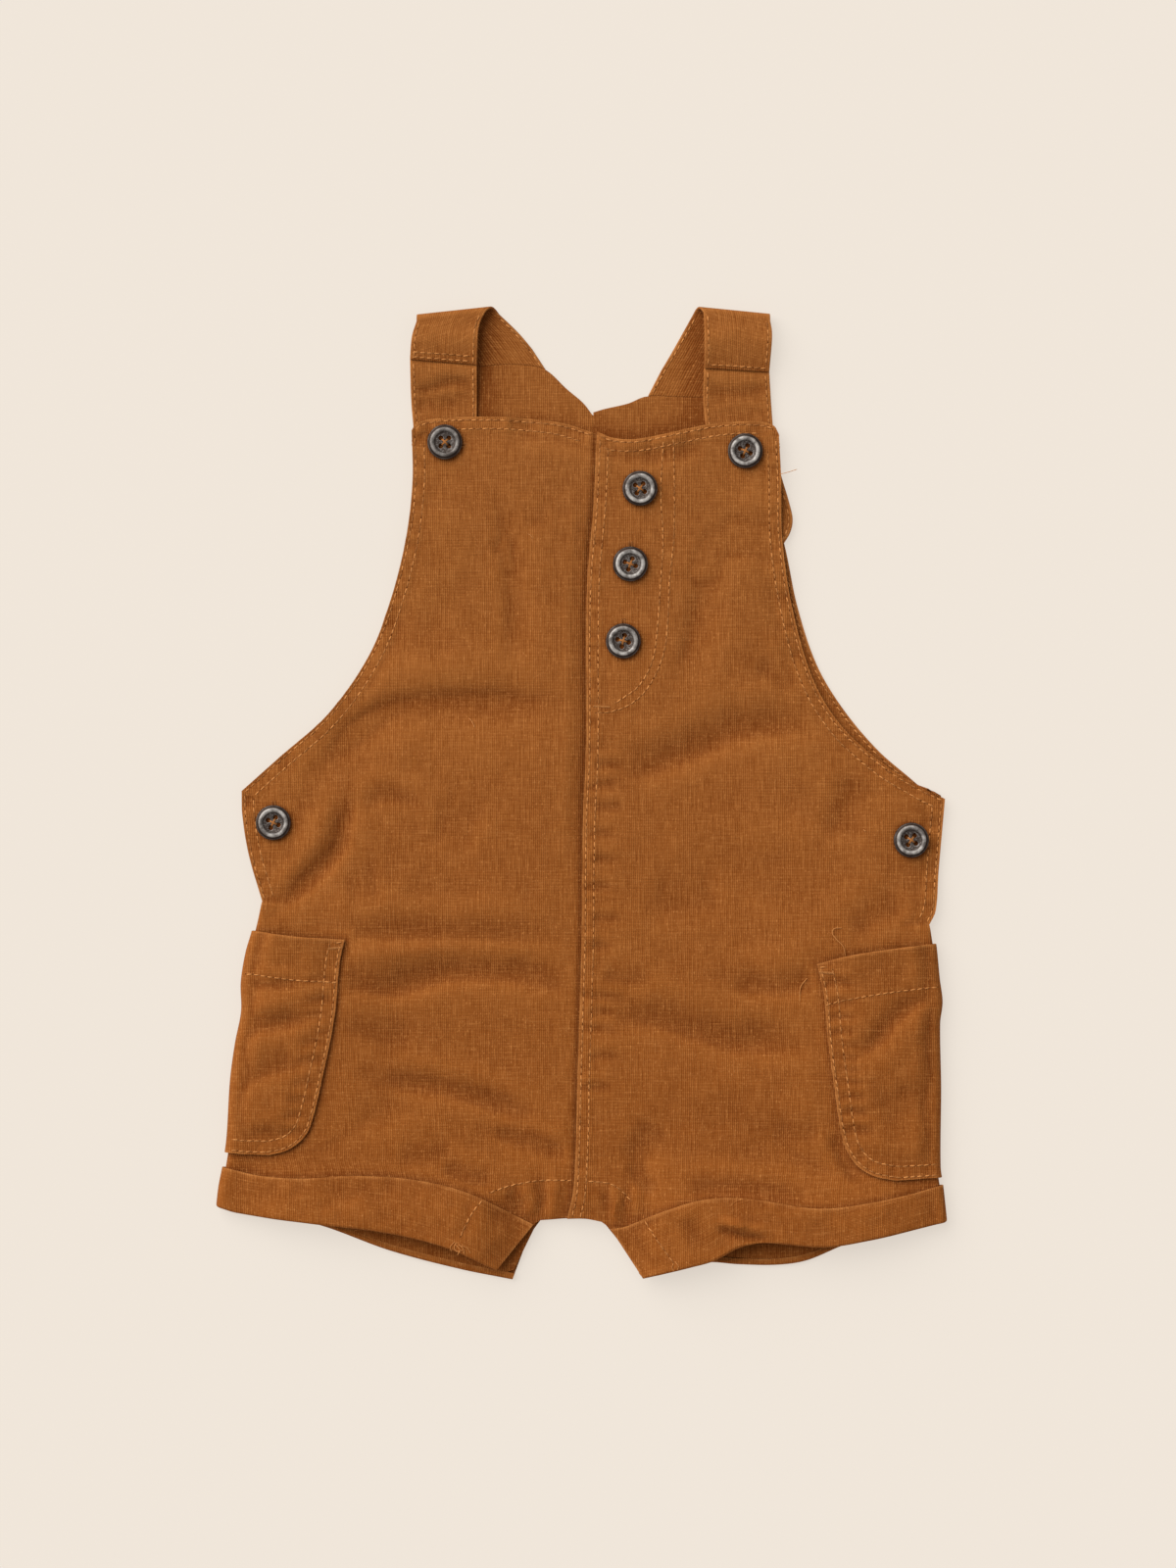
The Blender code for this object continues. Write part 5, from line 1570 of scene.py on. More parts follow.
# Loose ends: points on the plan, how high the middle stands, and radius.
LOOSE_ENDS: dict[str, tuple] = {
    "front_left": (
        (((-45.6, 30.4), (-44.6, 29.2), (-43.4, 26.8)), 0.3, 0.16),
        (((-21.6, 105.4), (-20.4, 104.6), (-19.8, 103.6)), 0.2, 0.12),
    ),
    "front_right": (
        (((107.4, -66.0), (106.4, -62.4), (103.6, -59.4), (102.0, -57.0), (102.6, -55.2),
          (105.8, -54.9)), 0.9, 0.15),
        (((91.8, -75.4), (89.2, -79.0), (88.8, -84.6)), 0.4, 0.14),
        (((80.6, 129.6), (83.4, 130.2), (87.8, 131.6)), 0.2, 0.11),
        (((114.8, -15.0), (115.6, -15.6)), 0.2, 0.2),
    ),
    "cuff_left_front": (
        (((-50.6, -182.2), (-51.4, -184.2), (-50.2, -185.6), (-48.0, -185.2)), 0.4, 0.14),
        (((-49.6, -182.8), (-47.8, -184.4), (-47.2, -186.8)), 0.5, 0.13),
        (((-50.8, -183.0), (-49.0, -185.0), (-50.0, -187.0)), 0.3, 0.14),
        (((-51.2, -181.8), (-53.0, -183.8), (-52.6, -185.6)), 0.4, 0.12),
        (((-48.6, -183.4), (-46.2, -184.2), (-44.8, -186.4)), 0.3, 0.11),
    ),
    "cuff_right_front": (
        (((38.0, -189.6), (39.4, -191.6), (39.0, -193.2)), 0.3, 0.12),
        (((37.4, -190.4), (36.8, -192.2), (37.6, -193.6)), 0.2, 0.11),
    ),
}


@dataclass
class Wrap:
    """A piece that lies on the body and turns round its folded side."""

    lay: Lay
    plan: Plan
    up: int  # 1 over the front, -1 under the back

    def rows(
        self, v_side: Array, v: Callable, inward: Callable, out: Array, gap: float, lift: Callable
    ) -> tuple[Array, Array, Array]:
        """Points from the middle of the side fold inwards.

        Args:
            v_side: the share up of each row at the side.
            v: gives the share up of each row from the shares inwards.
            inward: gives distances past the side fold from the width of each row.
            out: how far each row's surface stands off the body.
            gap: from the middle of the side fold to the piece's edge there.
            lift: gives what is added to the front's height from x and y.

        Returns:
            Rows of x, y and z, in millimetres.
        """
        lay, side = self.lay, self.lay.half.side
        edge_x = self.plan(0.0 * v_side, v_side)[0]
        width = np.abs(self.plan(0.0 * v_side + 1.0, v_side)[0] - edge_x)
        turn = np.radians(np.linspace(0.0, 90.0, FOLD_CELLS + 1))[None, :-1]
        u = SIDE_ROUND * (1 - np.cos(turn)) / width
        y = self.plan(u, v(u))[1]
        x = edge_x + side * ((SIDE_ROUND + out) * np.cos(turn) - SIDE_ROUND)
        half_round = SIDE_ROUND if self.up > 0 else SIDE_ROUND - UNDERSIDE
        reach = (half_round + out) * np.sin(turn) + gap * (1 - np.sin(turn))
        z = lay.back_under(edge_x - side * SIDE_ROUND + 0 * x, y) + SIDE_ROUND + self.up * reach
        u = (SIDE_ROUND + inward(width[:, 0] - SIDE_ROUND)) / width
        x_in, y_in = self.plan(u, v(u))
        if self.up > 0:
            z_in = lay.front_over(x_in, y_in) + out + lift(x_in, y_in)
        else:
            z_in = lay.back_under(x_in, y_in) + UNDERSIDE - out
        return tuple(np.concatenate(pair, axis=1) for pair in ((x, x_in), (y, y_in), (z, z_in)))


@dataclass
class Pocket(Cloth):
    """A patch pocket folded round the side, from its edge on the front to that on the back."""

    puff: float = 1.7  # how far its front stands off between its stitched edges
    strips: tuple[float, float] = (6.0, 5.0)  # finer cells at its foot and its mouth
    step: float = 1.2  # length of its other rows
    columns: tuple[int, int] = (24, 14)  # over the front and under the back

    @property
    def node(self) -> str:
        """The name of its solid."""
        return f"pocket_{self.half.name}"

    def painted_shade(self, x: Array, y: Array, z: Array) -> Array:
        """Painted shade from how deep in a trough each point lies, and painted darker all over on
        the right pocket.
        """
        return super().painted_shade(x, y, z) + POCKET_SHADE * (self.half.side > 0)

    @property
    def outwards(self) -> bool:
        """Whether the grid's own faces point out of the garment."""
        return self.half.side > 0

    def lift(self, x: Array, y: Array) -> Array:
        """How far the front of the pocket stands off more than its edges do."""
        half = self.half
        inner = Line.up((half.pocket_edge,), *limits(half.pocket_edge))
        away, along = inner.near(x, y)
        away = np.abs(away)
        over_foot, to_mouth = y - through(half.pocket_foot, x), through(half.pocket_mouth, x) - y
        at_side = smooth((self.lay.from_side(x, y) - SIDE_ROUND) / 7.0)
        inside = smooth(over_foot / 14.0) * smooth(away / 16.0) * at_side
        folds = folded(POCKET_FOLDS, x, y)
        swelling = inside * (self.puff + waves(x, y, POCKET_RUMPLE))
        lift = np.maximum(swelling + np.minimum(inside * 2, 1) * folds, -0.1)
        for row in POCKET_ROWS:
            lift = lift + POCKET_SUNK.at(away - row)
        ripple = NOISE.at(along, 3.0 + 20 * (half.side > 0), 2.6)
        lift = lift + ripple * POCKET_RIPPLE.at(away - sum(POCKET_ROWS) / 2)
        deep = -0.75 if half.side > 0 else -0.45
        for height in POCKET_PUCKERS[half.name]:
            edge = float(through(half.pocket_edge, height))
            line = ((0.3, 0.0), (6.0, 0.8), (13.0, -0.4))
            line = tuple((edge + half.side * dx, height + dy) for dx, dy in line)
            lift = lift + Fold(line, 1.4, deep, 0.35, 0.5).rise(x, y)
        lift = lift + MOUTH_EDGE.at(to_mouth) + HEM_SUNK.at(to_mouth - POCKET_HEM)
        return lift + MOUTH_SLACK.at(to_mouth) * smooth(away / 12.0) * at_side

    def surface(self) -> tuple[Array, Array, Array]:
        """Rows of x, y and z of its outer surface, in millimetres."""
        half = self.half
        foot, mouth = half.pocket_foot, half.pocket_mouth
        outer = 0 if half.side < 0 else -1
        low, high = foot[outer][1], mouth[outer][1]
        chords = Line([(x, y) for y, x in half.pocket_edge])
        shares = chords.along / chords.length
        tables = [list(zip(shares, chords.points[:, k])) for k in (0, 1)]

        def edge(v: Array) -> tuple[Array, Array]:
            """The curved inner edge."""
            return through(tables[0], v), through(tables[1], v)

        plan = patch(upright(half.front_side, low, high), edge, (foot,), (mouth,))
        tall = high - low
        marks = (0.0, self.strips[0], tall - self.strips[1], tall)
        v = (graduated(marks, (FINE, self.step, FINE)) / tall)[:, None]
        front, back = (
            Wrap(self.lay, plan, up).rows(
                v, lambda u: v + 0 * u, lambda width: graded(width, False, True, count),
                OVER + 0 * v, 0.0, self.lift,
            )
            for up, count in zip((1, -1), self.columns)
        )
        return tuple(np.concatenate([a[:, ::-1], b[:, 1:]], axis=1) for a, b in zip(front, back))

    def grain(self, x: Array, y: Array, z: Array) -> Array:
        """The cloth's own map, from the front edge round the side."""
        across = self.half.side * run_length(x, 0 * y, z, 1)
        return np.stack([across + x[:, :1] + POCKET_GRAIN, y], -1) * MM

    def sew(self, sewing: Sewing) -> None:
        """Sews the curved edges, the hem of the mouth and the tacks at its corners."""
        half, tree = self.half, self.tree
        edge = Line.up((half.pocket_edge,), *limits(half.pocket_edge), 1.0)
        lower = Line.across((half.pocket_foot,), *limits(half.pocket_foot), 1.0)
        whole = Line(np.concatenate([lower.points[:: -half.side][:-1], edge.points[1:]]))
        first, last = limits(half.pocket_mouth)
        x = steps(*((first - 6.0, last - 0.5) if half.side < 0 else (first + 0.5, last + 6.0)), 1.0)
        hem = Line(np.stack([x, through(half.pocket_mouth, x) - POCKET_HEM], 1))
        corner = edge.at(edge.length)
        tack = Line([corner + (half.side * 1.0, -3.2), corner + (half.side * 6.6, -3.6)])
        top = Line([corner + (half.side * 1.0, -1.0), corner + (half.side * 5.0, -1.2)])
        for above in (True, False):
            for inset in POCKET_ROWS:
                sewing.row(tree, whole.beside(-half.side * inset).part(1.0, 1.5), above)
            sewing.row(tree, hem, above)
            sewing.bars(tree, tack, 0.6, above=above)
            if above:
                sewing.row(tree, top, above)


@dataclass
class Cuff(Cloth):
    """A turned-up cuff on one face of a leg, with its rounded lower fold."""

    fold: float = 1.35  # half the height of the lower fold
    lip: float = 1.4  # how far the cloth runs on up inside the leg
    lip_cells: int = 2
    fold_cells: int = 10
    band_cells: int = 14
    columns: int = 84

    @property
    def node(self) -> str:
        """The name of its solid."""
        return f"cuff_{self.half.name}_{self.face.value}"

    def lift(self, x: Array, y: Array) -> Array:
        """How far the band stands off more than at its side: it is slack along its upper edge."""
        half = self.half
        to_top = through(half.cuff_top, x) - y
        slack = 0.45 + 0.55 * NOISE.at(x, 3.0, 15.0) + 0.3 * NOISE.at(x, 9.0, 6.0)
        inner = smooth(half.side * (x - half.crotch) / 20.0)
        inner = inner * smooth(self.lay.from_side(x, y) / 12.0)
        uneven = waves(x, y, CUFF_WAVES) + folded(CUFF_FOLDS, x, y)
        return (np.maximum(slack, 0.0) * bell(to_top / 5.0) + uneven) * inner

    def surface(self) -> tuple[Array, Array, Array]:
        """Rows of x, y and z of its outer surface, in millimetres."""
        half = self.half
        hem = half.hem_front if self.face is Face.FRONT else half.hem_back
        outer, inner = (0, -1) if half.side < 0 else (-1, 0)
        low, high = hem[outer][1], half.cuff_top[outer][1]
        foot, top = hem[inner], half.cuff_top[inner]

        def inseam_line(v: Array) -> tuple[Array, Array]:
            """The end at the inside leg."""
            return foot[0] + v * (top[0] - foot[0]), foot[1] + v * (top[1] - foot[1])

        side_line = upright(half.front_side, low, high)
        plan = patch(side_line, inseam_line, (hem,), (half.cuff_top,))
        turn = np.radians(np.linspace(-90.0, 90.0, self.fold_cells + 1))
        inside = np.linspace(self.fold + self.lip, self.fold, self.lip_cells + 1)[:-1]
        tucked = np.concatenate([inside, self.fold * (1 - np.cos(turn))])[:, None]
        middle = (OVER - CLOTH) / 2
        lip = -CLOTH if self.face is Face.FRONT else -UNDER_WALL
        out = np.concatenate([0 * inside + lip, middle + self.fold * np.sin(turn)])[:, None]
        band = np.linspace(0.0, 1.0, self.band_cells + 1)[1:, None]
        out = np.concatenate([out, OVER + 0 * band])

        def share(u: Array) -> Array:
            """The share up of each row, where the band is as tall as it is at u."""
            ends = [plan(u, 0 * u + end) for end in (0.0, 1.0)]
            tall = np.hypot(ends[1][0] - ends[0][0], ends[1][1] - ends[0][1])
            above = (self.fold + band * (tall - self.fold)) / tall
            return np.concatenate([tucked / tall, above])

        def spread(u: Array) -> Array:
            """The share up for shares inwards, which may differ from row to row."""
            if len(u) == 1:
                return share(u)
            return np.stack([share(u[i : i + 1])[i] for i in range(len(u))])

        up = 1 if self.face is Face.FRONT else -1
        return Wrap(self.lay, plan, up).rows(
            share(np.zeros((1, 1))), spread,
            lambda width: graded(width, False, True, self.columns), out, SIDE_SLIT, self.lift,
        )

    def grain(self, x: Array, y: Array, z: Array) -> Array:
        """The cloth's own map, up the band from the lip."""
        return np.stack([x + CUFF_GRAIN, run_length(x, y, z, 0)], -1) * MM

    def sew(self, sewing: Sewing) -> None:
        """Sews the row of the inside leg that runs over the cuff."""
        if self.face is Face.FRONT:
            sewing.row(self.tree, Line.bowed(CUFF_INSEAMS[self.half.name], 1.0))


CUFF_FOLDS = (
    Fold(((-31, -171.5), (-24, -174), (-20, -178)), 1.6, -0.6, 0.6, 0.5),
    Fold(((-48, -165), (-46, -172), (-49, -180)), 2.2, -0.6, 0.4, 0.5),
    Fold(((-92, -162), (-88, -170), (-90, -176)), 5.0, 0.5, 0.0, 0.0),
    Fold(((55, -172), (58.6, -177.4), (66, -180.0), (78, -181.6)), 1.4, -1.5, 1.3, 0.4),
    Fold(((54, -175), (58, -174.0), (68, -176.4)), 2.3, 1.5, 0.0, 0.0),
    Fold(((20, -178), (26, -175), (33, -172)), 1.8, -0.7, 0.4, 0.5),
    Fold(((42, -170), (44, -178), (47, -187)), 3.0, -0.6, 0.3, 0.5),
    Fold(((100, -172), (108, -175), (118, -178)), 5.0, 0.5, 0.0, 0.0),
)


@dataclass
class Strap(Cloth):
    """What the two pieces of a strap share."""

    arch: float = 2.0  # how far its front stands up between the shoulder fold and the bib
    columns: int = 25  # points across it
    fold_cells: int = 14  # round the shoulder fold

    @property
    def open_rims(self) -> tuple[tuple[bool, bool], tuple[bool, bool]]:
        """Its long edges are worn, and its seams aren't."""
        return (False, False), (True, True)

    @property
    def outwards(self) -> bool:
        """Whether the grid's own faces point out of the garment."""
        return self.half.side > 0

    def height(self, y: Array) -> Array:
        """Height of a strap's upper surface, which comes down from its fold to the bib."""
        top, under = SHOULDER_FRONT_LEFT[0][1], NECK_LEFT[3][1] + 4.0
        arch = self.arch * smooth((STRAP_TOP - y) / 13.0) * smooth((y - under - 1.0) / 30.0)
        return STRAP_UNDER + STRAP_RISE * smooth((y - under) / (top - under)) + arch

    def rows(self, stations: Sequence[Station], step: float = 1.2) -> tuple[Array, Array]:
        """Points across the strap at close steps down its stations: rows of x and of y."""
        middle = Line([((a + c) / 2, (b + d) / 2) for a, b, c, d in stations])
        at = np.interp(steps(0, middle.length, step), middle.along, np.arange(len(stations)))
        ends = [through([(i, s[k]) for i, s in enumerate(stations)], at)[:, None] for k in range(4)]
        t = np.linspace(0.0, 1.0, self.columns)[None, :]
        return ends[0] * (1 - t) + ends[2] * t, ends[1] * (1 - t) + ends[3] * t

    def rumple(self, x: Array, y: Array) -> Array:
        """The unevenness of the strap: its turned edges, stitch lines and soft waves."""
        across = np.linspace(0.0, 1.0, x.shape[1])[None, :] + 0 * x
        wide = np.hypot(x[:, -1:] - x[:, :1], y[:, -1:] - y[:, :1])
        edge = np.minimum(across, 1 - across) * wide
        rise = TURNED_RISE * (1 - smooth((edge - TURNED) / TURNED_RAMP)) + SUNK.at(edge - STRAP_ROW)
        wave = waves(x, y, ((0.3, 70.0 * self.half.side, 0.0, 12.0), (0.12, 0.0, 0.0, 4.5)))
        return rise + wave * smooth((y - self.neck(x) - 2.0) / 6.0)

    def neck(self, x: Array) -> Array:
        """Height on the plan of the bib's neckline."""
        return through(self.half.neck, x)

    def grain(self, x: Array, y: Array, z: Array) -> Array:
        """The cloth's own map, along the strap."""
        across = np.linspace(0.0, 1.0, x.shape[1])[None, :] * STRAP_WIDTH + 0 * x
        return np.stack([across + STRAP_GRAIN, run_length(x, y, z, 0)], -1) * MM

    def edge_rows(
        self, sewing: Sewing, stations: Sequence[Station], above: bool,
        sides: Sequence[int] = (0, -1),
    ) -> None:
        """Sews a row of stitches inside the edges of the strap.

        Args:
            sewing: what sews.
            stations: the stretch of strap.
            above: whether its upper face is sewn.
            sides: 0 for its outer edge, -1 for its inner edge.
        """
        points = np.stack(self.rows(stations, 1.5), -1)
        for side in sides:
            toward = points[:, self.columns // 2] - points[:, side]
            toward /= np.linalg.norm(toward, axis=1, keepdims=True)
            line = Line(points[:, side] + STRAP_ROW * toward)
            sewing.row(self.tree, line.part(0.8, 0.8), above)


@dataclass
class Shoulder(Strap):
    """The strap from its seam on the back, over the shoulder fold, to its seam on the front."""

    @property
    def node(self) -> str:
        """The name of its solid."""
        return f"strap_{self.half.name}_shoulder"

    def painted_shade(self, x: Array, y: Array, z: Array) -> Array:
        """Painted shade from how deep in a trough each point lies, and from the shade of the front
        leaf.
        """
        return super().painted_shade(x, y, z) + self.lay.strap_shade(x, y)

    def surface(self) -> tuple[Array, Array, Array]:
        """Rows of x, y and z of its outer surface, in millimetres."""
        half = self.half
        x, y = self.rows(half.shoulder_back)
        count = max(round(len(x) / (len(half.shoulder_back) - 1)), 2)
        first_x, first_y = x[0], through(half.yoke, x[0]) + 0.06
        share = np.linspace(0.0, 1.0, count + 1)[:, None]
        x[: count + 1] = first_x * (1 - share) + x[count] * share
        y[: count + 1] = first_y * (1 - share) + y[count] * share
        gone = np.linspace(0.0, 3.0, len(x))[:, None]
        dents = np.maximum(0.5 * NOISE.at(x, y, 14.0), 0.0) * smooth(gone) * smooth(3.0 - gone)
        z = UNDERSIDE + dents
        x_up, y_up = self.rows(half.shoulder_front)
        from_fold = smooth(np.linspace(0.2, 2.5, len(x_up)))[:, None]
        z_up = self.height(y_up) + self.rumple(x_up, y_up) * from_fold
        turn = np.radians(np.linspace(0.0, 180.0, self.fold_cells + 1))[1:-1, None]
        t = turn / math.pi
        x_fold = x[-1] * (1 - t) + x_up[0] * t
        y_fold = y[-1] * (1 - t) + y_up[0] * t + STRAP_FOLD * np.sin(turn)
        z_fold = z[-1] + (z_up[0] - z[-1]) * (1 - np.cos(turn)) / 2
        return (
            np.concatenate([x, x_fold, x_up]), np.concatenate([y, y_fold, y_up]),
            np.concatenate([z, z_fold, z_up]),
        )

    def sew(self, sewing: Sewing) -> None:
        """Sews both edges on both faces and beside both seams."""
        half = self.half
        self.edge_rows(sewing, half.shoulder_front, True)
        self.edge_rows(sewing, half.shoulder_back, False)
        self.edge_rows(sewing, half.shoulder_back, True, (-1,))
        last = half.shoulder_front[-1]
        for rise in (1.3, 3.2) if half.side < 0 else (1.5,):
            seam = Line([(last[0], last[1] + rise), (last[2], last[3] + rise)]).part(1.0, 1.0)
            sewing.row(self.tree, seam)
        first = sorted((half.shoulder_back[0][0], half.shoulder_back[0][2]))
        seam = Line.across((half.yoke,), *first, 1.0)
        sewing.row(self.tree, Line(seam.points + (0, 2.0)).part(1.5, 1.5), False)


@dataclass
class StrapEnd(Strap):
    """The strap from its front seam down under the bib to its rounded end."""

    # How far its first rows go on under the edge of the shoulder piece, and how far down.
    tucked: Pairs = ((2.4, 1.25), (1.1, 0.5), (1.3, 0.06))

    @property
    def node(self) -> str:
        """The name of its solid."""
        return f"strap_{self.half.name}_front"

    def surface(self) -> tuple[Array, Array, Array]:
        """Rows of x, y and z of its outer surface, in millimetres."""
        x, y = self.rows(self.half.strap_front)
        bare = smooth((y - self.neck(x) + 3.0) / 4.0)
        uneven = self.rumple(x, y) + folded(STRAP_FOLDS, x, y)
        z = self.height(y) + np.where(bare > 0, uneven * bare, 0.0)
        for row, (further, lower) in enumerate(self.tucked):
            y[row] += further
            z[row] -= lower
        return x, y, z

    def sew(self, sewing: Sewing) -> None:
        """Sews both edges."""
        self.edge_rows(sewing, self.half.strap_front, True)


STRAP_FOLDS = (
    Fold(((-70, 163.5), (-62, 164), (-54, 166.5), (-43, 166.5)), 1.6, -0.7, 0.4, 0.6),
    Fold(((-69, 158), (-60, 156.5), (-46, 158)), 2.4, -0.3, 0.2),
    Fold(((78, 166), (62, 163), (51, 164)), 2.2, -0.45, 0.25, 0.6),
    Fold(((77, 156.5), (66, 155), (54, 157)), 2.2, -0.3, 0.2),
)


@dataclass
class Button:
    """A four-hole metal button with a raised ring, sewn on with crossed thread."""

    name: str
    x: float
    y: float
    turn: float
    wardrobe: Wardrobe
    worn: float = 1.0
    radius: float = 7.1
    hole: float = 1.06
    flare: float = 0.6  # how much wider a hole is at its mouth
    circle: float = 2.3  # on which the middles of the holes lie
    segments: int = 56
    strand: float = 0.19
    ring: tuple[float, float] = (4.15, 6.15)  # where its worn ring starts and ends
    ring_foot: float = 1.9  # height from which the ring is worn
    edge: float = 6.95  # where the outer edge is worn
    recess: float = 4.0  # radius of the sunk middle
    lips: tuple[float, float] = (1.0, 1.3)  # heights between which the holes' lips get a painted highlight
    profile: Pairs = (
        (0.0, 0.05), (5.9, 0.0), (6.8, 0.3), (7.1, 0.9), (7.1, 1.35), (6.9, 1.7), (6.45, 1.95),
        (6.15, 2.08), (6.0, 2.26), (5.7, 2.46), (5.25, 2.52), (4.8, 2.44), (4.45, 2.18),
        (4.2, 1.8), (3.95, 1.6), (3.5, 1.5), (0.0, 1.47),
    )

    def body(self) -> bpy.types.Mesh:
        """The turned button with its four countersunk holes, about the origin, in metres."""
        work = bmesh.new()
        verts = [work.verts.new((radius, 0.0, height)) for radius, height in self.profile]
        edges = [work.edges.new(pair) for pair in zip(verts, verts[1:])]
        bmesh.ops.spin(
            work, geom=verts + edges, cent=(0, 0, 0), axis=(0, 0, 1), angle=2 * math.pi,
            steps=self.segments, use_merge=True,
        )
        bmesh.ops.remove_doubles(work, verts=work.verts, dist=0.001)
        bmesh.ops.recalc_face_normals(work, faces=work.faces)
        bmesh.ops.scale(work, verts=work.verts, vec=(MM, MM, MM))
        return as_mesh(self.name, work)

    def drills(self) -> bpy.types.Mesh:
        """Four flared pins that cut the holes, in metres."""
        work = bmesh.new()
        for k in range(4):
            turn = math.pi / 4 + math.pi / 2 * k
            place = (self.circle * math.cos(turn), self.circle * math.sin(turn), 0.0)
            for low, high, wide, wider in (
                (-1.0, 4.0, self.hole, self.hole), (1.15, 1.85, self.hole, self.hole + self.flare),
            ):
                made = bmesh.ops.create_cone(
                    work, cap_ends=True, segments=20, radius1=wide, radius2=wider, depth=high - low
                )
                lift = (place[0], place[1], (low + high) / 2)
                bmesh.ops.translate(work, verts=made["verts"], vec=lift)
        bmesh.ops.scale(work, verts=work.verts, vec=(MM, MM, MM))
        return as_mesh(f"{self.name}_drills", work)

    def drilled(self) -> bpy.types.Mesh:
        """The button with its holes cut."""
        blank = bpy.data.objects.new("blank", self.body())
        cutter = bpy.data.objects.new("cutter", self.drills())
        for made in (blank, cutter):
            bpy.context.scene.collection.objects.link(made)
        cut = blank.modifiers.new("holes", "BOOLEAN")
        cut.operation, cut.object, cut.solver, cut.use_self = "DIFFERENCE", cutter, "EXACT", True
        bpy.context.view_layer.update()
        mesh = bpy.data.meshes.new_from_object(
            blank.evaluated_get(bpy.context.evaluated_depsgraph_get())
        )
        for made in (blank, cutter):
            bpy.data.objects.remove(made)
        return mesh

    def build(self, tree: BVHTree, threads: Sewing) -> bpy.types.Object:
        """Sets the button on the front and sews it on.

        Args:
            tree: the surface of the cloth below it.
            threads: where its thread goes.

        Returns:
            The button's object.
        """
        ring = [(0.0, 0.0)] + [
            (self.radius * reach * math.cos(turn), self.radius * reach * math.sin(turn))
            for reach in (0.6, 0.97) for turn in np.linspace(0, 2 * math.pi, 12, endpoint=False)
        ]
        hits = [threads.touch(tree, self.x + dx, self.y + dy) for dx, dy in ring]
        seat = max(hit[0].z for hit in hits if hit) / MM + BUTTON_GAP
        mesh = self.drilled()
        points = positions(mesh) / MM
        reach, height = np.hypot(points[:, 0], points[:, 1]), points[:, 2]
        bare = smooth((reach - self.ring[0]) / 0.4) * smooth((self.ring[1] - reach) / 0.3)
        bare = self.worn * bare * smooth((height - self.ring_foot) / 0.3)
        rim = 0.25 * bell((reach - self.edge) / 0.25) * smooth((height - 1.0) / 0.6)
        # painted highlight on the lips of the holes, stored with the wear
        lips = 0.8 * (reach < self.recess) * (height > self.lips[0]) * (height < self.lips[1])
        store(mesh, "reach", reach)
        store(mesh, "bare", np.maximum(np.maximum(bare, rim), lips))
        place = Matrix.Translation(Vector((self.x, self.y, seat)) * MM) @ Matrix.Rotation(
            math.radians(self.turn), 4, "Z"
        )
        mesh.transform(place)
        mesh.materials.clear()
        made = link(f"metal_{self.name}", mesh, self.wardrobe.metal)
        made.data.set_sharp_from_angle(angle=math.radians(38))
        self.sew(threads, seat)
        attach(made, "root")
        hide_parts(self.name)
        LOG.info("%s at %.2f mm", made.name, seat)
        return made

    def sew(self, threads: Sewing, seat: float) -> None:
        """Adds two crossed double strands through the holes."""
        face = seat + 1.45
        for k in (0, 1):
            turn = math.radians(self.turn) + math.pi / 4 + math.pi / 2 * k
            way, across = (math.cos(turn), math.sin(turn)), (-math.sin(turn), math.cos(turn))
            for side in (-0.17, 0.17):
                rows = []
                for along, height in (
                    (-1.75, -1.9), (-1.6, -0.9), (-1.3, -0.15), (-0.8, 0.18 + 0.1 * k),
                    (0.0, 0.26 + 0.2 * k), (0.8, 0.18 + 0.1 * k), (1.3, -0.15), (1.6, -0.9),
                    (1.75, -1.9),
                ):
                    x = self.x + along * way[0] + side * across[0]
                    y = self.y + along * way[1] + side * across[1]
                    rows.append((x, y, max(face + height, seat - 0.35)))
                threads.pile.add(tube(np.array(rows), self.strand), Matrix.Identity(4), 0.6)


# Each button's half, place, turn in degrees and how far its ring is worn bright.
BUTTONS: tuple[tuple[str, Half, float, float, float, float], ...] = (
    ("button_bib_left", LEFT, -55.4, 142.6, 0, 0.5),
    ("button_bib_right", RIGHT, 66.7, 139.0, 20, 0.9),
    ("button_placket_top", RIGHT, 23.9, 123.7, 10, 1.0),
    ("button_placket_middle", RIGHT, 20.0, 93.0, 25, 1.0),
    ("button_placket_low", RIGHT, 17.1, 61.7, 30, 0.9),
    ("button_side_left", LEFT, -125.2, -12.1, 20, 0.85),
    ("button_side_right", RIGHT, 134.2, -19.2, 10, 0.9),
)


@dataclass
class Overalls:
    """The whole garment, built from its lowest layers up."""

    wardrobe: Wardrobe
    pieces: dict[str, Cloth] = field(default_factory=dict)

    def build(self) -> None:
        """Builds and dresses every piece of cloth, then the buttons."""
        for half in (LEFT, RIGHT):
            back = dict(face=Face.BACK, wall=UNDER_WALL, rim=0.26)
            self.put(Panel(half, self.wardrobe, **back))
            self.put(Cuff(half, self.wardrobe, **back))
            self.put(StrapEnd(half, self.wardrobe))
            self.put(Shoulder(half, self.wardrobe, wall=UNDER_WALL))
        for half in (LEFT, RIGHT):
            self.put(Panel(half, self.wardrobe))
            self.put(Pocket(half, self.wardrobe))
            self.put(Cuff(half, self.wardrobe))
        threads = Sewing(self.wardrobe.thread)
        for name, half, x, y, turn, worn in BUTTONS:
            tree = self.pieces[f"front_{half.name}"].tree
            Button(name, x, y, turn, self.wardrobe, worn).build(tree, threads)
        sewn = threads.finish("button_threads")
        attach(sewn, "root")

    def put(self, piece: Cloth) -> None:
        """Builds one piece, keeps it by its solid's name and dresses it."""
        piece.build()
        self.pieces[piece.node] = piece
        piece.dress()


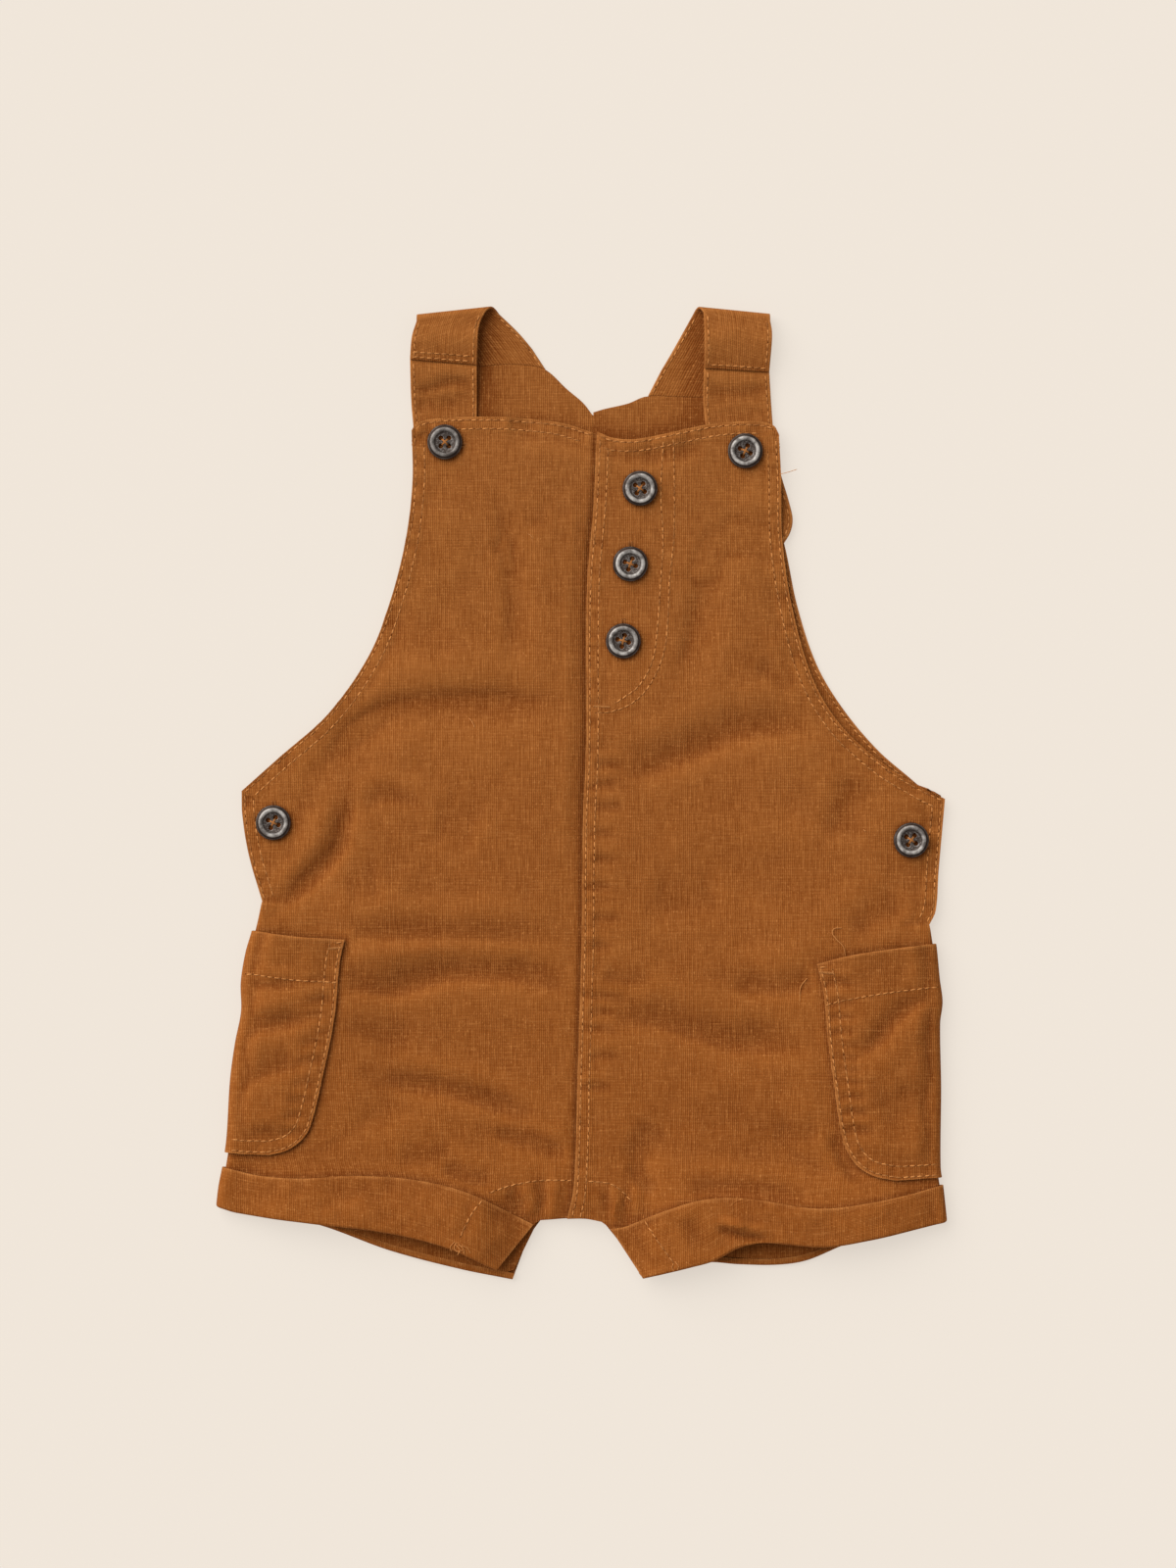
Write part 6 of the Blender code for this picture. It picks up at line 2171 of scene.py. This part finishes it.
@dataclass
class Studio:
    """The floor, the broad soft light from the upper left, and the camera straight above."""

    wardrobe: Wardrobe
    view: tuple[float, float] = (2.8, 3.6)  # what the camera looks at, in millimetres
    frame_height: float = 640.0  # of the garment's plane, in millimetres
    lens: float = 85.0
    sensor: float = 36.0
    clip: tuple[float, float] = (0.05, 20.0)
    floor: float = 3.0  # half its width, in metres
    key: float = 3.32
    key_angle: float = 60.0  # how broad the light is, in degrees
    key_way: Triple = (1.0, -0.95, -1.2)
    key_colour: Triple = (1.0, 0.99, 0.975)
    fill: float = 0.4
    fill_colour: Triple = (1.0, 0.995, 0.99)

    def build(self) -> None:
        """Builds the floor, the lights and the camera."""
        work = bmesh.new()
        bmesh.ops.create_grid(work, x_segments=1, y_segments=1, size=self.floor)
        mesh = as_mesh("floor", work)
        link("floor", mesh, self.wardrobe.floor)
        lamp = bpy.data.lights.new("key", "SUN")
        lamp.energy, lamp.color = self.key, self.key_colour
        lamp.angle = math.radians(self.key_angle)
        made = bpy.data.objects.new("key", lamp)
        made.rotation_euler = Vector(self.key_way).to_track_quat("-Z", "Y").to_euler()
        bpy.context.scene.collection.objects.link(made)
        world = bpy.data.worlds.new("studio")
        world.use_nodes = True
        sky = world.node_tree.nodes["Background"].inputs
        sky["Color"].default_value = (*self.fill_colour, 1.0)
        sky["Strength"].default_value = self.fill
        bpy.context.scene.world = world
        self.camera()

    def camera(self) -> None:
        """Adds the camera, with the garment as large in its frame as in the photograph."""
        data = bpy.data.cameras.new("camera")
        data.lens, data.sensor_width, data.sensor_fit = self.lens, self.sensor, "AUTO"
        data.clip_start, data.clip_end = self.clip
        made = bpy.data.objects.new("camera", data)
        far = self.frame_height * MM * self.lens / self.sensor
        made.location = (self.view[0] * MM, self.view[1] * MM, far)
        bpy.context.scene.collection.objects.link(made)
        bpy.context.scene.camera = made
        bpy.context.scene.view_settings.view_transform = "Standard"


def main() -> None:
    """Builds the garment and the studio."""
    logging.basicConfig(level=logging.INFO, format="%(name)s %(message)s")
    wardrobe = Wardrobe()
    Studio(wardrobe).build()
    Overalls(wardrobe).build()


if __name__ == "__main__":
    main()
